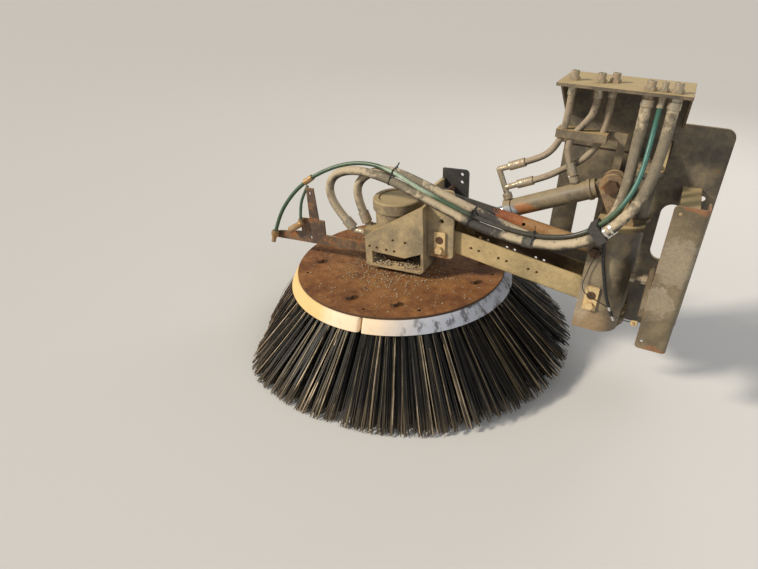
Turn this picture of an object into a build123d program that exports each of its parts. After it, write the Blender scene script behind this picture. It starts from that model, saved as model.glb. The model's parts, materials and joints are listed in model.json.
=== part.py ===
from build123d import *

import os
from math import asin, atan2, cos, degrees, hypot, pi, radians, sin, tan

# Gutter broom and swing arm of a street sweeper truck, in millimetres.
# The origin is the middle of the frame bolts on the rear face of the mounting plate.
# +X points to the rear of the truck, +Y to its middle, +Z up. The brush stands on the ground.

# Ground and mounting plate
ground_drop = 470.0
plate_width = 440.0
plate_height = 640.0
plate_thickness = 12.0
plate_corner = 25.0
frame_bolt_span_x = 370.0
frame_bolt_span_z = 240.0
# The lower left corner is cut off, clear of the raised brush: width, and heights at its two sides
plate_cut_x = 192.0
plate_cut_left = 186.0
plate_cut_right = 64.0
frame_bolt_hole_radius = 9.0
plate_slot_width = 60.0
plate_slot_height = 180.0
plate_slot_x = 120.0

# Swing bearing, whose pin stands this far behind the plate's middle and in front of the plate
pivot_x = 22.0
pivot_distance = 100.0
king_pin_radius = 25.0
king_pin_head_radius = 34.0
king_pin_head_height = 14.0
bearing_clearance = 0.1
bearing_gap = 3.0
ear_thickness = 15.0
ear_radius = 48.0
upper_ear_bottom = 195.0
lower_ear_top = -265.0
gusset_thickness = 10.0
upper_gusset_height = 60.0
lower_gusset_height = 38.0

# Swing post
tube_radius = 38.2
weld_gap = 0.3
post_half_width = 61.5
post_wall = 8.0
post_leg_edge_x = -65.0
post_bend_x = -5.5
post_bottom_z = -245.0
post_top_z = 60.0
cap_thickness = 10.0

# Parallel arms, pin places on the post in X and Z, and the arms' run to the head
arm_pin_x = -29.0
arm_pin_z = -131.0
link_pin_x = -45.0
link_pin_z = 0.0
arm_run_x = -471.0
arm_rise = 63.0
arm_pin_radius = 12.5
link_pin_radius = 10.0
pin_clearance = 0.1
pin_head = 6.0
pin_head_step = 5.0
link_nut_radius = 16.0
cylinder_bolt_radius = 20.0
keeper_width = 38.0
keeper_above = 28.0
keeper_below = 48.0
keeper_thickness = 6.0
keeper_bolt_drop = 32.0
keeper_bolt_radius = 13.0
keeper_bolt_height = 9.0

# Lower arm channel
arm_half_width = 48.0
arm_depth = 75.0
arm_wall = 6.0
arm_end_radius = 27.0
arm_taper_length = 50.0
arm_bend_radius = 9.0
arm_web_inset = 62.0
arm_hole_radius = 4.5
arm_hole_pitch = 26.0
# Middles of the hole pairs, along the arm from the post's pin
arm_hole_places = (-365.0, -275.0, -180.0)

# Upper link tube
link_tube_radius = 19.0
link_tube_wall = 4.0
link_eye_radius = 20.0
link_eye_width = 40.0
link_offset_y = -30.0
link_hole_radius = 5.0

# Lift cylinder, pin places in X and Z
cylinder_pin_x = -47.0
cylinder_pin_z = 171.0
rod_pin_x = -440.0
rod_pin_z = -13.5
cylinder_offset_y = 28.0
rod_lug_gap = 2.0
rod_lug_thickness = 8.0
barrel_radius = 27.0
barrel_bore_radius = 22.0
barrel_start = 42.0
barrel_end = 312.0
gland_length = 22.0
rod_radius = 12.5
piston_at = 160.0
piston_length = 24.0
rod_eye_radius = 21.0
rod_eye_width = 24.0
rod_eye_play = 4.0
tang_width = 30.0
cylinder_pin_radius = 12.0
rod_pin_radius = 10.0
cylinder_ear_radius = 33.0
cylinder_ear_thickness = 10.0
cylinder_ear_gap = 34.0
cylinder_ear_base = 60.0

# Hose fittings on the cylinder: places along it from its top pin, and heights off its axis
gland_port_at = 296.0
low_branch = 66.0
low_branch_end = 208.0
high_branch = 124.0
high_branch_end = 215.0
base_port_at = 96.0
base_fitting_top = 87.0
fitting_radius = 8.5
fitting_nut_radius = 14.0
fitting_gap = 0.3

# Head: middle of the brush plate's top face, its lean to the front and its lean outwards
brush_x = -660.0
brush_top_z = -215.0
lean_front = 4.0
lean_out = 2.5

# Head carrier between the arms and the motor bracket
carrier_wall = 10.0
carrier_gap = 112.0
carrier_depth = 86.0
carrier_below_pin = 60.0
carrier_above_pin = 30.0
carrier_back_rise = 30.0
carrier_corner = 14.0
carrier_hole_radius = 7.5

# Motor bracket, in the head's own frame with z = 0 at the brush plate's top
bracket_left_x = -80.0
bracket_right_x = 127.5
bracket_half_width = 95.0
bracket_wall = 10.0
bracket_bottom_z = 22.0
bracket_top_z = 250.0
bracket_low_corner_z = 140.0
bracket_bend_radius = 18.0
bracket_left_bar = 24.0
window_sill = 10.0
motor_plate_z = 98.0
motor_plate_thickness = 10.0
bracket_hole_radius = 4.5
shaft_clearance = 10.0

# Hydraulic motor
can_radius = 75.0
can_ring_radius = 82.0
can_ring_low_z = 200.0
can_top_z = 240.0
shaft_radius = 20.0
shaft_end_z = 58.0
port_block_length = 36.0
port_block_height = 34.0
# Middles of the two ports on the port block's faces, in the head's own frame
motor_port_a = (-92.0, -62.0, 124.0)
motor_port_b = (-84.0, -34.0, 141.0)

# Brush
hub_radius = 50.0
hub_neck_radius = 36.0
hub_flange_radius = 64.0
hub_flange_z = 42.0
hub_flange_thickness = 14.0
hub_top_z = 102.0
hub_bolt_count = 6
hub_bolt_circle = 52.0
brush_plate_radius = 352.0
brush_plate_thickness = 8.0
segment_count = 4
segment_gap_angle = 1.2
segment_inner_radius = 262.0
segment_top_radius = 358.0
segment_bottom_radius = 378.0
segment_height = 42.0
segment_start = -84.0
plate_bolt_circle = 282.0
plate_bolt_radius = 14.0
plate_bolt_height = 12.0
tip_circle_radius = 580.0
tuft_root_width = 17.0
tuft_root_depth = 13.0
tuft_tip_width = 36.0
tuft_tip_depth = 11.0

# Guard channel beside the post, and its stop bolt
guard_width = 80.0
guard_front_y = -330.0
guard_depth = 60.0
guard_wall = 6.0
guard_bottom_z = -220.0
guard_top_z = 195.0
guard_bend_radius = 14.0
strut_size = 50.0
strut_wall = 5.0
strut_inset = 42.0
strut_low_z = -165.0
strut_high_z = 125.0
stop_z = -75.0
stop_bolt_radius = 8.0
stop_nut_radius = 15.0
stop_nut_height = 13.0
stop_lug_thickness = 12.0
stop_gap = 0.3

# Hose bulkhead on top of the mounting plate
bulkhead_left_x = -232.0
bulkhead_right_x = 90.0
bulkhead_bottom_z = 225.0
bulkhead_top_z = 430.0
bulkhead_front_y = -240.0
bulkhead_thickness = 8.0
bulkhead_notch_gap = 3.0
bulkhead_gusset_thickness = 6.0
bulkhead_gusset_lip = 50.0
hose_end_z = 392.0
port_bore_radius = 8.0
port_bore_depth = 30.0

# Hose clamp and spray gear
clamp_length = 26.0
clamp_wall = 5.0
clamp_top = 14.0
guide_left_x = -222.0
guide_right_x = -88.0
guide_front_y = -186.0
guide_bottom_z = 279.0
guide_top_z = 301.0
guide_thickness = 6.0
# The bulkhead's gussets end this far above the guide, which swings back below them
guide_clearance = 9.0
spray_bar_thickness = 6.0
nozzle_radius = 11.0

# Hoses
motor_hose_radius = 14.0
water_line_radius = 6.5
cylinder_hose_radius = 9.5
ferrule_wall = 3.5
ferrule_length = 46.0
spray_branch_radius = 5.0

# Routes, from the brush head to the bulkhead: the hoses run round the motor, past the arms,
# through the clamp on the post and up to the bulkhead
motor_hose_a = [
    (-838, -264, -73),
    (-880, -266, -34),
    (-903, -268, 22),
    (-886, -270, 72),
    (-832, -273, 102),
    (-758, -279, 111),
    (-666, -289, 103),
    (-568, -300, 77),
    (-479, -304, 53),
    (-398, -306, 27),
    (-305, -307, 11),
    (-209, -307, 5),
    (-130, -307, 18),
    (-64, -307, 49),
    (-19, -307, 92),
    (9, -304, 131),
    (33, -292, 175),
    (44, -271, 219),
    (49, -244, 261),
    (52, -221, 306),
    (52, -210, 354),
    (52, -210, 392),
]
motor_hose_b = [
    (-786, -242, -42),
    (-806, -243, 0),
    (-808, -245, 52),
    (-768, -249, 96),
    (-690, -249, 123),
    (-572, -279, 109),
    (-483, -286, 84),
    (-395, -280, 56),
    (-301, -278, 29),
    (-217, -278, 11),
    (-142, -278, 16),
    (-76, -278, 44),
    (-33, -278, 89),
    (-13, -273, 140),
    (-7, -258, 195),
    (-8, -236, 245),
    (-10, -218, 292),
    (-10, -210, 340),
    (-10, -210, 392),
]
water_line = [
    (-1104, -302, -160),
    (-1090, -298, -108),
    (-1060, -291, -48),
    (-1010, -283, 16),
    (-940, -272, 72),
    (-852, -258, 115),
    (-760, -260, 134),
    (-668, -281, 130),
    (-575, -305, 103),
    (-479, -311, 77),
    (-398, -306, 51),
    (-305, -304, 34),
    (-212, -301, 27),
    (-133, -297, 39),
    (-80, -297, 65),
    (-38, -300, 106),
    (-9, -299, 149),
    (11, -287, 193),
    (20, -264, 238),
    (21, -238, 282),
    (21, -218, 325),
    (21, -210, 362),
    (21, -210, 392),
]
spray_branch = [
    (-995, -304, -92),
    (-997, -300, -52),
    (-991, -293, -12),
    (-977, -281, 24),
]
# Each cylinder hose starts at a fitting on the cylinder; these are the points that follow
base_hose = [
    (-184, -172, 262),
    (-172, -172, 295),
    (-148, -172, 326),
    (-133, -172, 357),
    (-133, -172, 392),
]
low_branch_hose = [
    (-182, -149, 188),
    (-140, -149, 218),
    (-112, -149, 260),
    (-100, -149, 310),
    (-100, -149, 392),
]
high_branch_hose = [
    (-231, -172, 230),
    (-212, -172, 262),
    (-200, -172, 308),
    (-200, -172, 392),
]

# Ports of the bulkhead: place in X and Y, and the radius of the hose
ports = [
    (52, -210, 14.0),
    (21, -210, 6.5),
    (-10, -210, 14.0),
    (-100, -149, 9.5),
    (-133, -172, 9.5),
    (-200, -172, 9.5),
]

# Runs of each hose where its sections meet: at the tie on the arm and at the clamp on the post
motor_hose_a_cuts = (9, 13)
motor_hose_b_cuts = (7, 11)
water_line_cuts = (10, 14)
lift_hose_cuts = (2, 4, 3)

# Places worked out from the sizes above
guard_middle_x = plate_width / 2 - strut_inset - strut_size / 2
bulkhead_gusset_low_z = guide_top_z + guide_clearance
post_middle_y = -(pivot_distance + tube_radius + weld_gap + post_half_width)
post_front_y = post_middle_y - post_half_width
post_back_y = post_middle_y + post_half_width
arm_length = hypot(arm_run_x, arm_rise)
arm_slope = degrees(atan2(arm_rise, -arm_run_x))
head_arm_pin_x = arm_pin_x + arm_run_x
head_arm_pin_z = arm_pin_z + arm_rise
head_link_pin_x = link_pin_x + arm_run_x
head_link_pin_z = link_pin_z + arm_rise
cylinder_length = hypot(rod_pin_x - cylinder_pin_x, rod_pin_z - cylinder_pin_z)
cylinder_slope = degrees(asin((cylinder_pin_z - rod_pin_z) / cylinder_length))
cylinder_y = post_middle_y + cylinder_offset_y
link_y = post_middle_y + link_offset_y

arm_frame = Pos(arm_pin_x, post_middle_y, arm_pin_z) * Rot(0, arm_slope, 0)
link_frame = Pos(link_pin_x, link_y, link_pin_z) * Rot(0, arm_slope, 0)
cylinder_frame = Pos(cylinder_pin_x, cylinder_y, cylinder_pin_z) * Rot(0, -cylinder_slope, 0)
carrier_frame = Pos(brush_x, post_middle_y, brush_top_z) * Rot(0, -lean_front, 0)
head_frame = carrier_frame * Rot(lean_out, 0, 0)


def slab(sketch, y_front, y_back):
    """A plate of a sketch drawn in X and Z, between two Y places."""
    return extrude(Plane.XZ.offset(-y_back) * sketch, y_back - y_front)


def rod_y(x, z, radius, y_front, y_back):
    """A round rod or hole along Y."""
    return slab(Pos(x, z) * Circle(radius), y_front, y_back)


def rod_z(x, y, radius, z_low, z_high):
    """A round rod or hole along Z."""
    return Pos(x, y, z_low) * extrude(Circle(radius), z_high - z_low)


def rod_x(y, z, radius, x_low, x_high):
    """A round rod or hole along X."""
    return Pos(x_low, y, z) * extrude(Plane.YZ * Circle(radius), x_high - x_low)


def block(x_low, x_high, y_low, y_high, z_low, z_high):
    """A box between two corners."""
    size = Box(x_high - x_low, y_high - y_low, z_high - z_low)
    return Pos((x_low + x_high) / 2, (y_low + y_high) / 2, (z_low + z_high) / 2) * size


def carrier_place(x, z):
    """A place in the vertical plane, in the carrier's own frame."""
    run = x - brush_x
    rise = z - brush_top_z
    lean = radians(lean_front)
    return run * cos(lean) + rise * sin(lean), rise * cos(lean) - run * sin(lean)


# Mounting plate and swing bearing
def mounting_plate():
    """Back plate with frame bolt holes and two slots."""
    outline = RectangleRounded(plate_width, plate_height, plate_corner)
    holes = GridLocations(frame_bolt_span_x, frame_bolt_span_z, 2, 2) * Circle(frame_bolt_hole_radius)
    slot = SlotOverall(plate_slot_height, plate_slot_width, rotation=90)
    slots = GridLocations(2 * plate_slot_x, 0, 2, 1) * slot
    corner = make_face(
        Polyline(
            (-plate_width / 2 - 1, -plate_height / 2 - 1),
            (-plate_width / 2 + plate_cut_x, -plate_height / 2 - 1),
            (-plate_width / 2 + plate_cut_x, -plate_height / 2 + plate_cut_right),
            (-plate_width / 2 - 1, -plate_height / 2 + plate_cut_left),
            close=True,
        )
    )
    return slab(outline - holes - slots - corner, -plate_thickness, 0)


def bearing_ear(z_low, gusset_z_low):
    """A bearing ear with two gussets, welded to the mounting plate."""
    reach = pivot_distance - plate_thickness
    shape = Pos(pivot_x, -plate_thickness - reach / 2) * Rectangle(2 * ear_radius, reach)
    shape += Pos(pivot_x, -pivot_distance) * Circle(ear_radius)
    shape -= Pos(pivot_x, -pivot_distance) * Circle(king_pin_radius + bearing_clearance)
    ear = Pos(0, 0, z_low) * extrude(shape, ear_thickness)
    near_edge = z_low if gusset_z_low < z_low else z_low + ear_thickness
    triangle = make_face(
        Polyline(
            (-plate_thickness, near_edge),
            (-plate_thickness - reach, near_edge),
            (-plate_thickness, gusset_z_low),
            close=True,
        )
    )
    for side in (-1, 1):
        x = pivot_x + side * (ear_radius - gusset_thickness / 2)
        ear += Pos(x - gusset_thickness / 2, 0, 0) * extrude(Plane.YZ * triangle, gusset_thickness)
    return ear


def bearing_ears():
    """Upper ear with gussets above it, lower ear with gussets below it."""
    upper = bearing_ear(upper_ear_bottom, upper_ear_bottom + ear_thickness + upper_gusset_height)
    lower = bearing_ear(lower_ear_top - ear_thickness, lower_ear_top - ear_thickness - lower_gusset_height)
    return [upper, lower]


def king_pin():
    """Pin through both ears and the swing tube, with a head on the upper ear."""
    head_bottom = upper_ear_bottom + ear_thickness
    head_top = head_bottom + king_pin_head_height
    low_end = lower_ear_top - ear_thickness - 14
    pin = rod_z(pivot_x, -pivot_distance, king_pin_radius, low_end, head_bottom)
    head = rod_z(pivot_x, -pivot_distance, king_pin_head_radius, head_bottom, head_top)
    grease_nipple = rod_z(pivot_x, -pivot_distance, 6, head_top - 1, head_top + 12)
    return pin + head + grease_nipple


# Swing post
def post_outline(half_width, bend_radius):
    """U outline seen from above, open towards the brush."""
    leg = post_bend_x - post_leg_edge_x
    shape = Pos(post_bend_x - leg / 2, post_middle_y) * Rectangle(leg, 2 * half_width)
    shape += Pos(post_bend_x, post_middle_y) * Circle(bend_radius)
    beyond = Pos(post_leg_edge_x - half_width, post_middle_y) * Rectangle(2 * half_width, 4 * half_width)
    return shape - beyond


def swing_post():
    """Bent plate post with its cap and foot plates, round the bearing tube."""
    outer = post_outline(post_half_width, post_half_width)
    inner_half = post_half_width - post_wall
    shell = outer - post_outline(inner_half, inner_half)
    height = post_top_z - post_bottom_z
    post = Pos(0, 0, post_bottom_z) * extrude(shell, height)
    cap = outer + Pos(pivot_x, (post_middle_y - pivot_distance) / 2) * Rectangle(
        2 * tube_radius, -post_middle_y - pivot_distance
    )
    cap += Pos(pivot_x, -pivot_distance) * Circle(tube_radius + post_wall)
    post += Pos(0, 0, post_top_z) * extrude(cap, cap_thickness)
    foot = cap - post_outline(inner_half, inner_half)
    post += Pos(0, 0, post_bottom_z) * extrude(foot, post_wall)
    tube_end = post_top_z + cap_thickness + 1
    post -= rod_z(pivot_x, -pivot_distance, tube_radius + weld_gap, post_bottom_z - 1, tube_end)
    for x, z, radius in (
        (arm_pin_x, arm_pin_z, arm_pin_radius),
        (link_pin_x, link_pin_z, link_pin_radius),
    ):
        post -= rod_y(x, z, radius + pin_clearance, post_front_y - 1, post_back_y + 1)
    return post


def swing_tube():
    """Bearing tube on the king pin."""
    low = lower_ear_top + bearing_gap
    high = upper_ear_bottom - bearing_gap
    tube = rod_z(pivot_x, -pivot_distance, tube_radius, low, high)
    return tube - rod_z(pivot_x, -pivot_distance, king_pin_radius + bearing_clearance, low - 1, high + 1)


def cylinder_ears():
    """Two ears on the post's cap that carry the top pin of the lift cylinder."""
    base_z = post_top_z + cap_thickness
    boss = Pos(cylinder_pin_x, cylinder_pin_z) * Circle(cylinder_ear_radius)
    base = Pos(0, base_z + 4) * Rectangle(cylinder_ear_base, 8)
    outline = make_hull(boss.edges() + base.edges())
    outline -= Pos(cylinder_pin_x, cylinder_pin_z) * Circle(cylinder_pin_radius + pin_clearance)
    ears = []
    for side in (-1, 1):
        inner = cylinder_y + side * cylinder_ear_gap / 2
        outer = inner + side * cylinder_ear_thickness
        ears.append(slab(outline, min(inner, outer), max(inner, outer)))
    return ears


def hex_head(x, z, radius, y_front, y_back):
    """A hexagon bolt head or nut with its axis along Y."""
    return slab(Pos(x, z) * RegularPolygon(radius, 6), y_front, y_back)


def cross_pin(x, z, radius, front, back, nut_radius, has_head=True):
    """A pin along Y, with a round head at the back and a hexagon at the front where it has them."""
    pin = rod_y(x, z, radius, front - pin_head, back)
    if has_head:
        pin += rod_y(x, z, radius, back, back + pin_head)
        pin += rod_y(x, z, radius + pin_head_step, back + weld_gap, back + pin_head)
    if nut_radius > 0:
        pin += hex_head(x, z, nut_radius, front - weld_gap - nut_radius * 0.7, front - weld_gap)
    return pin


def post_pins():
    """Pins of the lower arm, the upper link and the lift cylinder, with their heads."""
    ear_half = cylinder_ear_gap / 2 + cylinder_ear_thickness
    return [
        cross_pin(arm_pin_x, arm_pin_z, arm_pin_radius, post_front_y, post_back_y, 0, False),
        cross_pin(link_pin_x, link_pin_z, link_pin_radius, post_front_y, post_back_y, link_nut_radius),
        cross_pin(
            cylinder_pin_x,
            cylinder_pin_z,
            cylinder_pin_radius,
            cylinder_y - ear_half,
            cylinder_y + ear_half,
            cylinder_bolt_radius,
        ),
    ]


def keeper(x_pin, z_pin, angle, face_y, pin_radius):
    """Keeper plate with its bolt that holds a pin. The bolt is below the pin."""
    place = Pos(x_pin, z_pin) * Rot(0, 0, angle)
    middle = (keeper_above - keeper_below) / 2
    shape = Pos(0, middle) * RectangleRounded(keeper_width, keeper_above + keeper_below, 3)
    shape -= Circle(pin_radius + pin_clearance)
    plate = slab(place * shape, face_y - keeper_thickness, face_y)
    head = place * Pos(0, -keeper_bolt_drop) * RegularPolygon(keeper_bolt_radius, 6)
    return plate + slab(head, face_y - keeper_thickness - keeper_bolt_height, face_y - keeper_thickness)


def post_keeper():
    """Keeper plate of the lower arm's pin, on the post's front leg."""
    return keeper(arm_pin_x, arm_pin_z, 0, post_front_y, arm_pin_radius)


# Lower arm
def arm_channel():
    """Folded channel, open at the top, with rounded ears at both ends and a lug for the rod."""
    half = arm_depth / 2
    inside = arm_half_width - arm_wall
    left = -arm_length - arm_depth
    right = arm_depth
    body = block(left, right, -arm_half_width, arm_half_width, -half, half)
    body = fillet(body.edges().filter_by(Axis.X).group_by(Axis.Z)[0], arm_bend_radius)
    trough = block(left - 1, right + 1, -inside, inside, -half + arm_wall, half + 1)
    trough = fillet(trough.edges().filter_by(Axis.X).group_by(Axis.Z)[0], arm_bend_radius - arm_wall)
    body -= trough
    flank = Pos(-arm_length / 2, 0) * Rectangle(arm_length - 2 * arm_taper_length, arm_depth)
    tips = [Pos(x, 0) * Circle(arm_end_radius) for x in (0, -arm_length)]
    outline = make_hull(flank.edges() + tips[0].edges() + tips[1].edges())
    body = body & slab(outline, -arm_half_width - 1, arm_half_width + 1)
    body -= block(left, -arm_length + arm_web_inset, -inside, inside, -half - 1, half + 1)
    body -= block(-arm_web_inset, right, -inside, inside, -half - 1, half + 1)
    lug_x, lug_z = rod_pin_in_arm()
    base = Pos(lug_x, 0) * Rectangle(4 * rod_eye_radius, half)
    lobe = make_hull((Pos(lug_x, lug_z) * Circle(rod_eye_radius)).edges() + base.edges())
    body += slab(lobe, inside, arm_half_width)
    body -= rod_y(lug_x, lug_z, rod_pin_radius + pin_clearance, inside - 1, arm_half_width + 1)
    for x in (0, -arm_length):
        body -= rod_y(x, 0, arm_pin_radius + pin_clearance, -arm_half_width - 1, arm_half_width + 1)
    for middle in arm_hole_places:
        for side in (-1, 1):
            x = middle + side * arm_hole_pitch / 2
            body -= rod_y(x, 0, arm_hole_radius, -arm_half_width - 1, arm_half_width + 1)
    return arm_frame * body


def rod_pin_in_arm():
    """Rod pin's place in the arm's own frame."""
    run = rod_pin_x - arm_pin_x
    rise = rod_pin_z - arm_pin_z
    slope = radians(arm_slope)
    return run * cos(slope) - rise * sin(slope), rise * cos(slope) + run * sin(slope)


def rod_lug():
    """Near lug of the rod pin, standing on the channel's web."""
    lug_x, lug_z = rod_pin_in_arm()
    near = cylinder_offset_y - rod_eye_width / 2 - rod_lug_gap
    foot = -arm_depth / 2 + arm_wall
    base = Pos(lug_x, foot + 5) * Rectangle(4 * rod_eye_radius, 10)
    lobe = make_hull((Pos(lug_x, lug_z) * Circle(rod_eye_radius)).edges() + base.edges())
    lobe -= Pos(lug_x, lug_z) * Circle(rod_pin_radius + pin_clearance)
    return arm_frame * slab(lobe, near - rod_lug_thickness, near)


def rod_pin():
    """Pin of the rod's eye, through both lugs."""
    lug_x, lug_z = rod_pin_in_arm()
    near = cylinder_offset_y - rod_eye_width / 2 - rod_lug_gap - rod_lug_thickness
    pin = rod_y(lug_x, lug_z, rod_pin_radius, near - pin_head, arm_half_width + pin_head)
    pin += rod_y(lug_x, lug_z, rod_pin_radius + pin_head_step, near - pin_head, near - weld_gap)
    return arm_frame * pin


# Upper link
def upper_link():
    """Tube with an eye at each end."""
    half_eye = link_eye_width / 2
    tube_length = arm_length - 2 * (link_eye_radius - 4)
    tube = rod_x(0, 0, link_tube_radius, -arm_length + link_eye_radius - 4, -link_eye_radius + 4)
    link = tube
    for x in (0, -arm_length):
        link += rod_y(x, 0, link_eye_radius, -half_eye, half_eye)
    hollow = link_tube_radius - link_tube_wall
    link -= rod_x(0, 0, hollow, -arm_length + link_eye_radius + 2, -link_eye_radius - 2)
    for x in (0, -arm_length):
        link -= rod_y(x, 0, link_pin_radius + pin_clearance, -half_eye - 1, half_eye + 1)
    link -= rod_y(-0.48 * tube_length, 4, link_hole_radius, -link_tube_radius - 1, link_tube_radius + 1)
    return link_frame * link


# Lift cylinder
def cylinder_barrel():
    """Barrel with its tang, base, ring collar and gland. The rod end points to -x."""
    tang = rod_y(0, 0, cylinder_ear_radius - 7, -tang_width / 2, tang_width / 2)
    tang += block(-barrel_start - 4, 0, -tang_width / 2, tang_width / 2, -20, 20)
    barrel = rod_x(0, 0, barrel_radius, -barrel_end, -barrel_start)
    barrel += rod_x(0, 0, barrel_radius + 3, -barrel_start - 24, -barrel_start - 14)
    barrel += rod_x(0, 0, barrel_radius + 4, -barrel_end, -barrel_end + gland_length)
    barrel += tang
    barrel -= rod_x(0, 0, barrel_bore_radius, -barrel_end + gland_length, -barrel_start - 10)
    barrel -= rod_x(0, 0, rod_radius + bearing_clearance, -barrel_end - 1, -barrel_end + gland_length + 1)
    barrel -= rod_y(0, 0, cylinder_pin_radius + pin_clearance, -tang_width, tang_width)
    return cylinder_frame * barrel


def cylinder_rod():
    """Piston, rod and the eye that holds the arm's pin with play."""
    rod = rod_x(0, 0, rod_radius, -cylinder_length, -piston_at)
    rod += rod_x(0, 0, barrel_bore_radius - bearing_clearance, -piston_at - piston_length, -piston_at)
    rod += rod_y(-cylinder_length, 0, rod_eye_radius, -rod_eye_width / 2, rod_eye_width / 2)
    rod -= rod_y(-cylinder_length, 0, rod_pin_radius + rod_eye_play, -rod_eye_width, rod_eye_width)
    return cylinder_frame * rod


def cylinder_fittings():
    """Port stem with two branches at the rod end, and an upright fitting at the base end."""
    foot = barrel_radius + fitting_gap
    stem = rod_z(-gland_port_at, 0, fitting_radius, foot + 4, high_branch)
    stem += rod_z(-gland_port_at, 0, fitting_nut_radius, foot + 4, foot + 20)
    stem += Pos(-gland_port_at, 0, high_branch) * Sphere(fitting_radius)
    for height, end in ((low_branch, low_branch_end), (high_branch, high_branch_end)):
        stem += rod_x(0, height, fitting_radius, -gland_port_at, -end - 40)
        stem += rod_x(0, height, cylinder_hose_radius + ferrule_wall, -end - 48, -end)
    base = rod_z(-base_port_at, 0, fitting_radius, foot, base_fitting_top)
    base += rod_z(-base_port_at, 0, fitting_nut_radius, foot + 6, foot + 20)
    ferrule_radius = cylinder_hose_radius + ferrule_wall
    base += rod_z(-base_port_at, 0, ferrule_radius, base_fitting_top - 34, base_fitting_top)
    return [cylinder_frame * stem, cylinder_frame * base]


# Head carrier and motor bracket
def head_carrier():
    """Bent plate with two cheeks that the parallel arms hold, and a web to the motor bracket."""
    low_x, low_z = carrier_place(head_arm_pin_x, head_arm_pin_z)
    high_x, high_z = carrier_place(head_link_pin_x, head_link_pin_z)
    left = bracket_right_x
    right = left + carrier_depth
    bottom = low_z - carrier_below_pin
    top = high_z + carrier_above_pin
    inner = carrier_gap / 2
    outer = inner + carrier_wall
    carrier = block(left, left + carrier_wall, -inner, inner, bottom, top)
    for side, rise in ((-1, 0.0), (1, carrier_back_rise)):
        height = top + rise - bottom
        cheek = Pos((left + right) / 2, bottom + height / 2) * Rectangle(carrier_depth, height)
        corners = cheek.vertices().group_by(Axis.X)[-1]
        cheek = fillet(corners, carrier_corner)
        carrier += slab(cheek, min(side * inner, side * outer), max(side * inner, side * outer))
    for x, z, radius in (
        (low_x, low_z, arm_pin_radius + pin_clearance),
        (high_x, high_z, link_pin_radius + pin_clearance),
        (low_x + 4, low_z + 62, carrier_hole_radius),
    ):
        carrier -= rod_y(x, z, radius, -outer - 1, outer + 1)
    for z in (high_z + 45, high_z + 20):
        carrier -= rod_y(right - 22, z, 6, inner - 1, outer + 1)
    return carrier_frame * carrier


def head_pins():
    """Pins of the lower arm and the upper link at the head."""
    outer = carrier_gap / 2 + carrier_wall
    front = post_middle_y - outer
    back = post_middle_y + outer
    return [
        cross_pin(head_arm_pin_x, head_arm_pin_z, arm_pin_radius, front, back, 0),
        cross_pin(head_link_pin_x, head_link_pin_z, link_pin_radius, front, back, link_nut_radius),
    ]


def head_keeper():
    """Keeper plate of the lower arm's pin, on the carrier's front cheek."""
    face = post_middle_y - carrier_gap / 2 - carrier_wall
    return keeper(head_arm_pin_x, head_arm_pin_z, lean_front, face, arm_pin_radius)


def motor_bracket():
    """Bent floor and wall plate between two pierced side plates, with the motor's seat plate."""
    left = bracket_left_x
    right = bracket_right_x
    wall = bracket_wall
    bottom = bracket_bottom_z
    half = bracket_half_width
    side = make_face(
        Polyline(
            (left, bottom),
            (left, bracket_low_corner_z - 15),
            (left + 18, bracket_low_corner_z),
            (right - wall, bracket_top_z),
            (right, bracket_top_z),
            (right, bottom),
            close=True,
        )
    )
    corner = side.vertices().group_by(Axis.Y)[0].sort_by(Axis.X)[-1]
    side = fillet(corner, bracket_bend_radius)
    window = make_face(
        Polyline(
            (left + bracket_left_bar, bottom + window_sill),
            (left + bracket_left_bar, bottom + 54),
            (right - 66, bottom + 48),
            (right - wall, bottom + 72),
            (right - wall, bottom + window_sill),
            close=True,
        )
    )
    pierced = side - window
    holes = ((-64, 93), (-37, 91), (-3, 89), (25, 88), (22, 127), (65, 125))
    for x, z in holes:
        pierced -= Pos(x, z) * Circle(bracket_hole_radius)
    bracket = slab(pierced, -half, -half + wall) + slab(pierced, half - wall, half)
    inner = half - wall
    floor = slab(side, -inner, inner)
    hollow = block(left - 1, right - wall, -inner, inner, bottom + wall, bracket_top_z + 1)
    low_rear_edge = hollow.edges().filter_by(Axis.Y).group_by(Axis.Z)[0].sort_by(Axis.X)[-1]
    hollow = fillet(low_rear_edge, bracket_bend_radius - wall)
    bracket += floor - hollow
    motor_plate_top = motor_plate_z + motor_plate_thickness
    bracket += block(left + 8, right - wall, -inner, inner, motor_plate_z, motor_plate_top)
    bracket -= rod_z(0, 0, hub_radius + shaft_clearance, bottom - 1, bottom + wall + 1)
    bracket -= rod_z(0, 0, hub_neck_radius + shaft_clearance, motor_plate_z - 1, motor_plate_top + 1)
    return head_frame * bracket


def port_block(gap):
    """Block on the can's side with the two ports, in the head's own frame, larger by a gap."""
    seat = motor_plate_z + motor_plate_thickness
    right = -can_radius + port_block_length
    top = seat + port_block_height + gap
    return block(-can_radius - 18 - gap, right, -78 - gap, -18 + gap, seat - gap, top)


def motor_can():
    """Motor housing with its top ring, port block and the shaft into the hub."""
    seat = motor_plate_z + motor_plate_thickness
    can = rod_z(0, 0, can_radius, seat, can_ring_low_z + 1)
    ring = rod_z(0, 0, can_ring_radius, can_ring_low_z, can_top_z)
    ring = chamfer(ring.edges().filter_by(GeomType.CIRCLE), 4)
    can += ring
    can -= rod_z(0, 0, can_radius - 12, can_top_z - 4, can_top_z + 1)
    can += rod_z(0, 0, shaft_radius, shaft_end_z, seat)
    can += port_block(0)
    return head_frame * can


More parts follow.
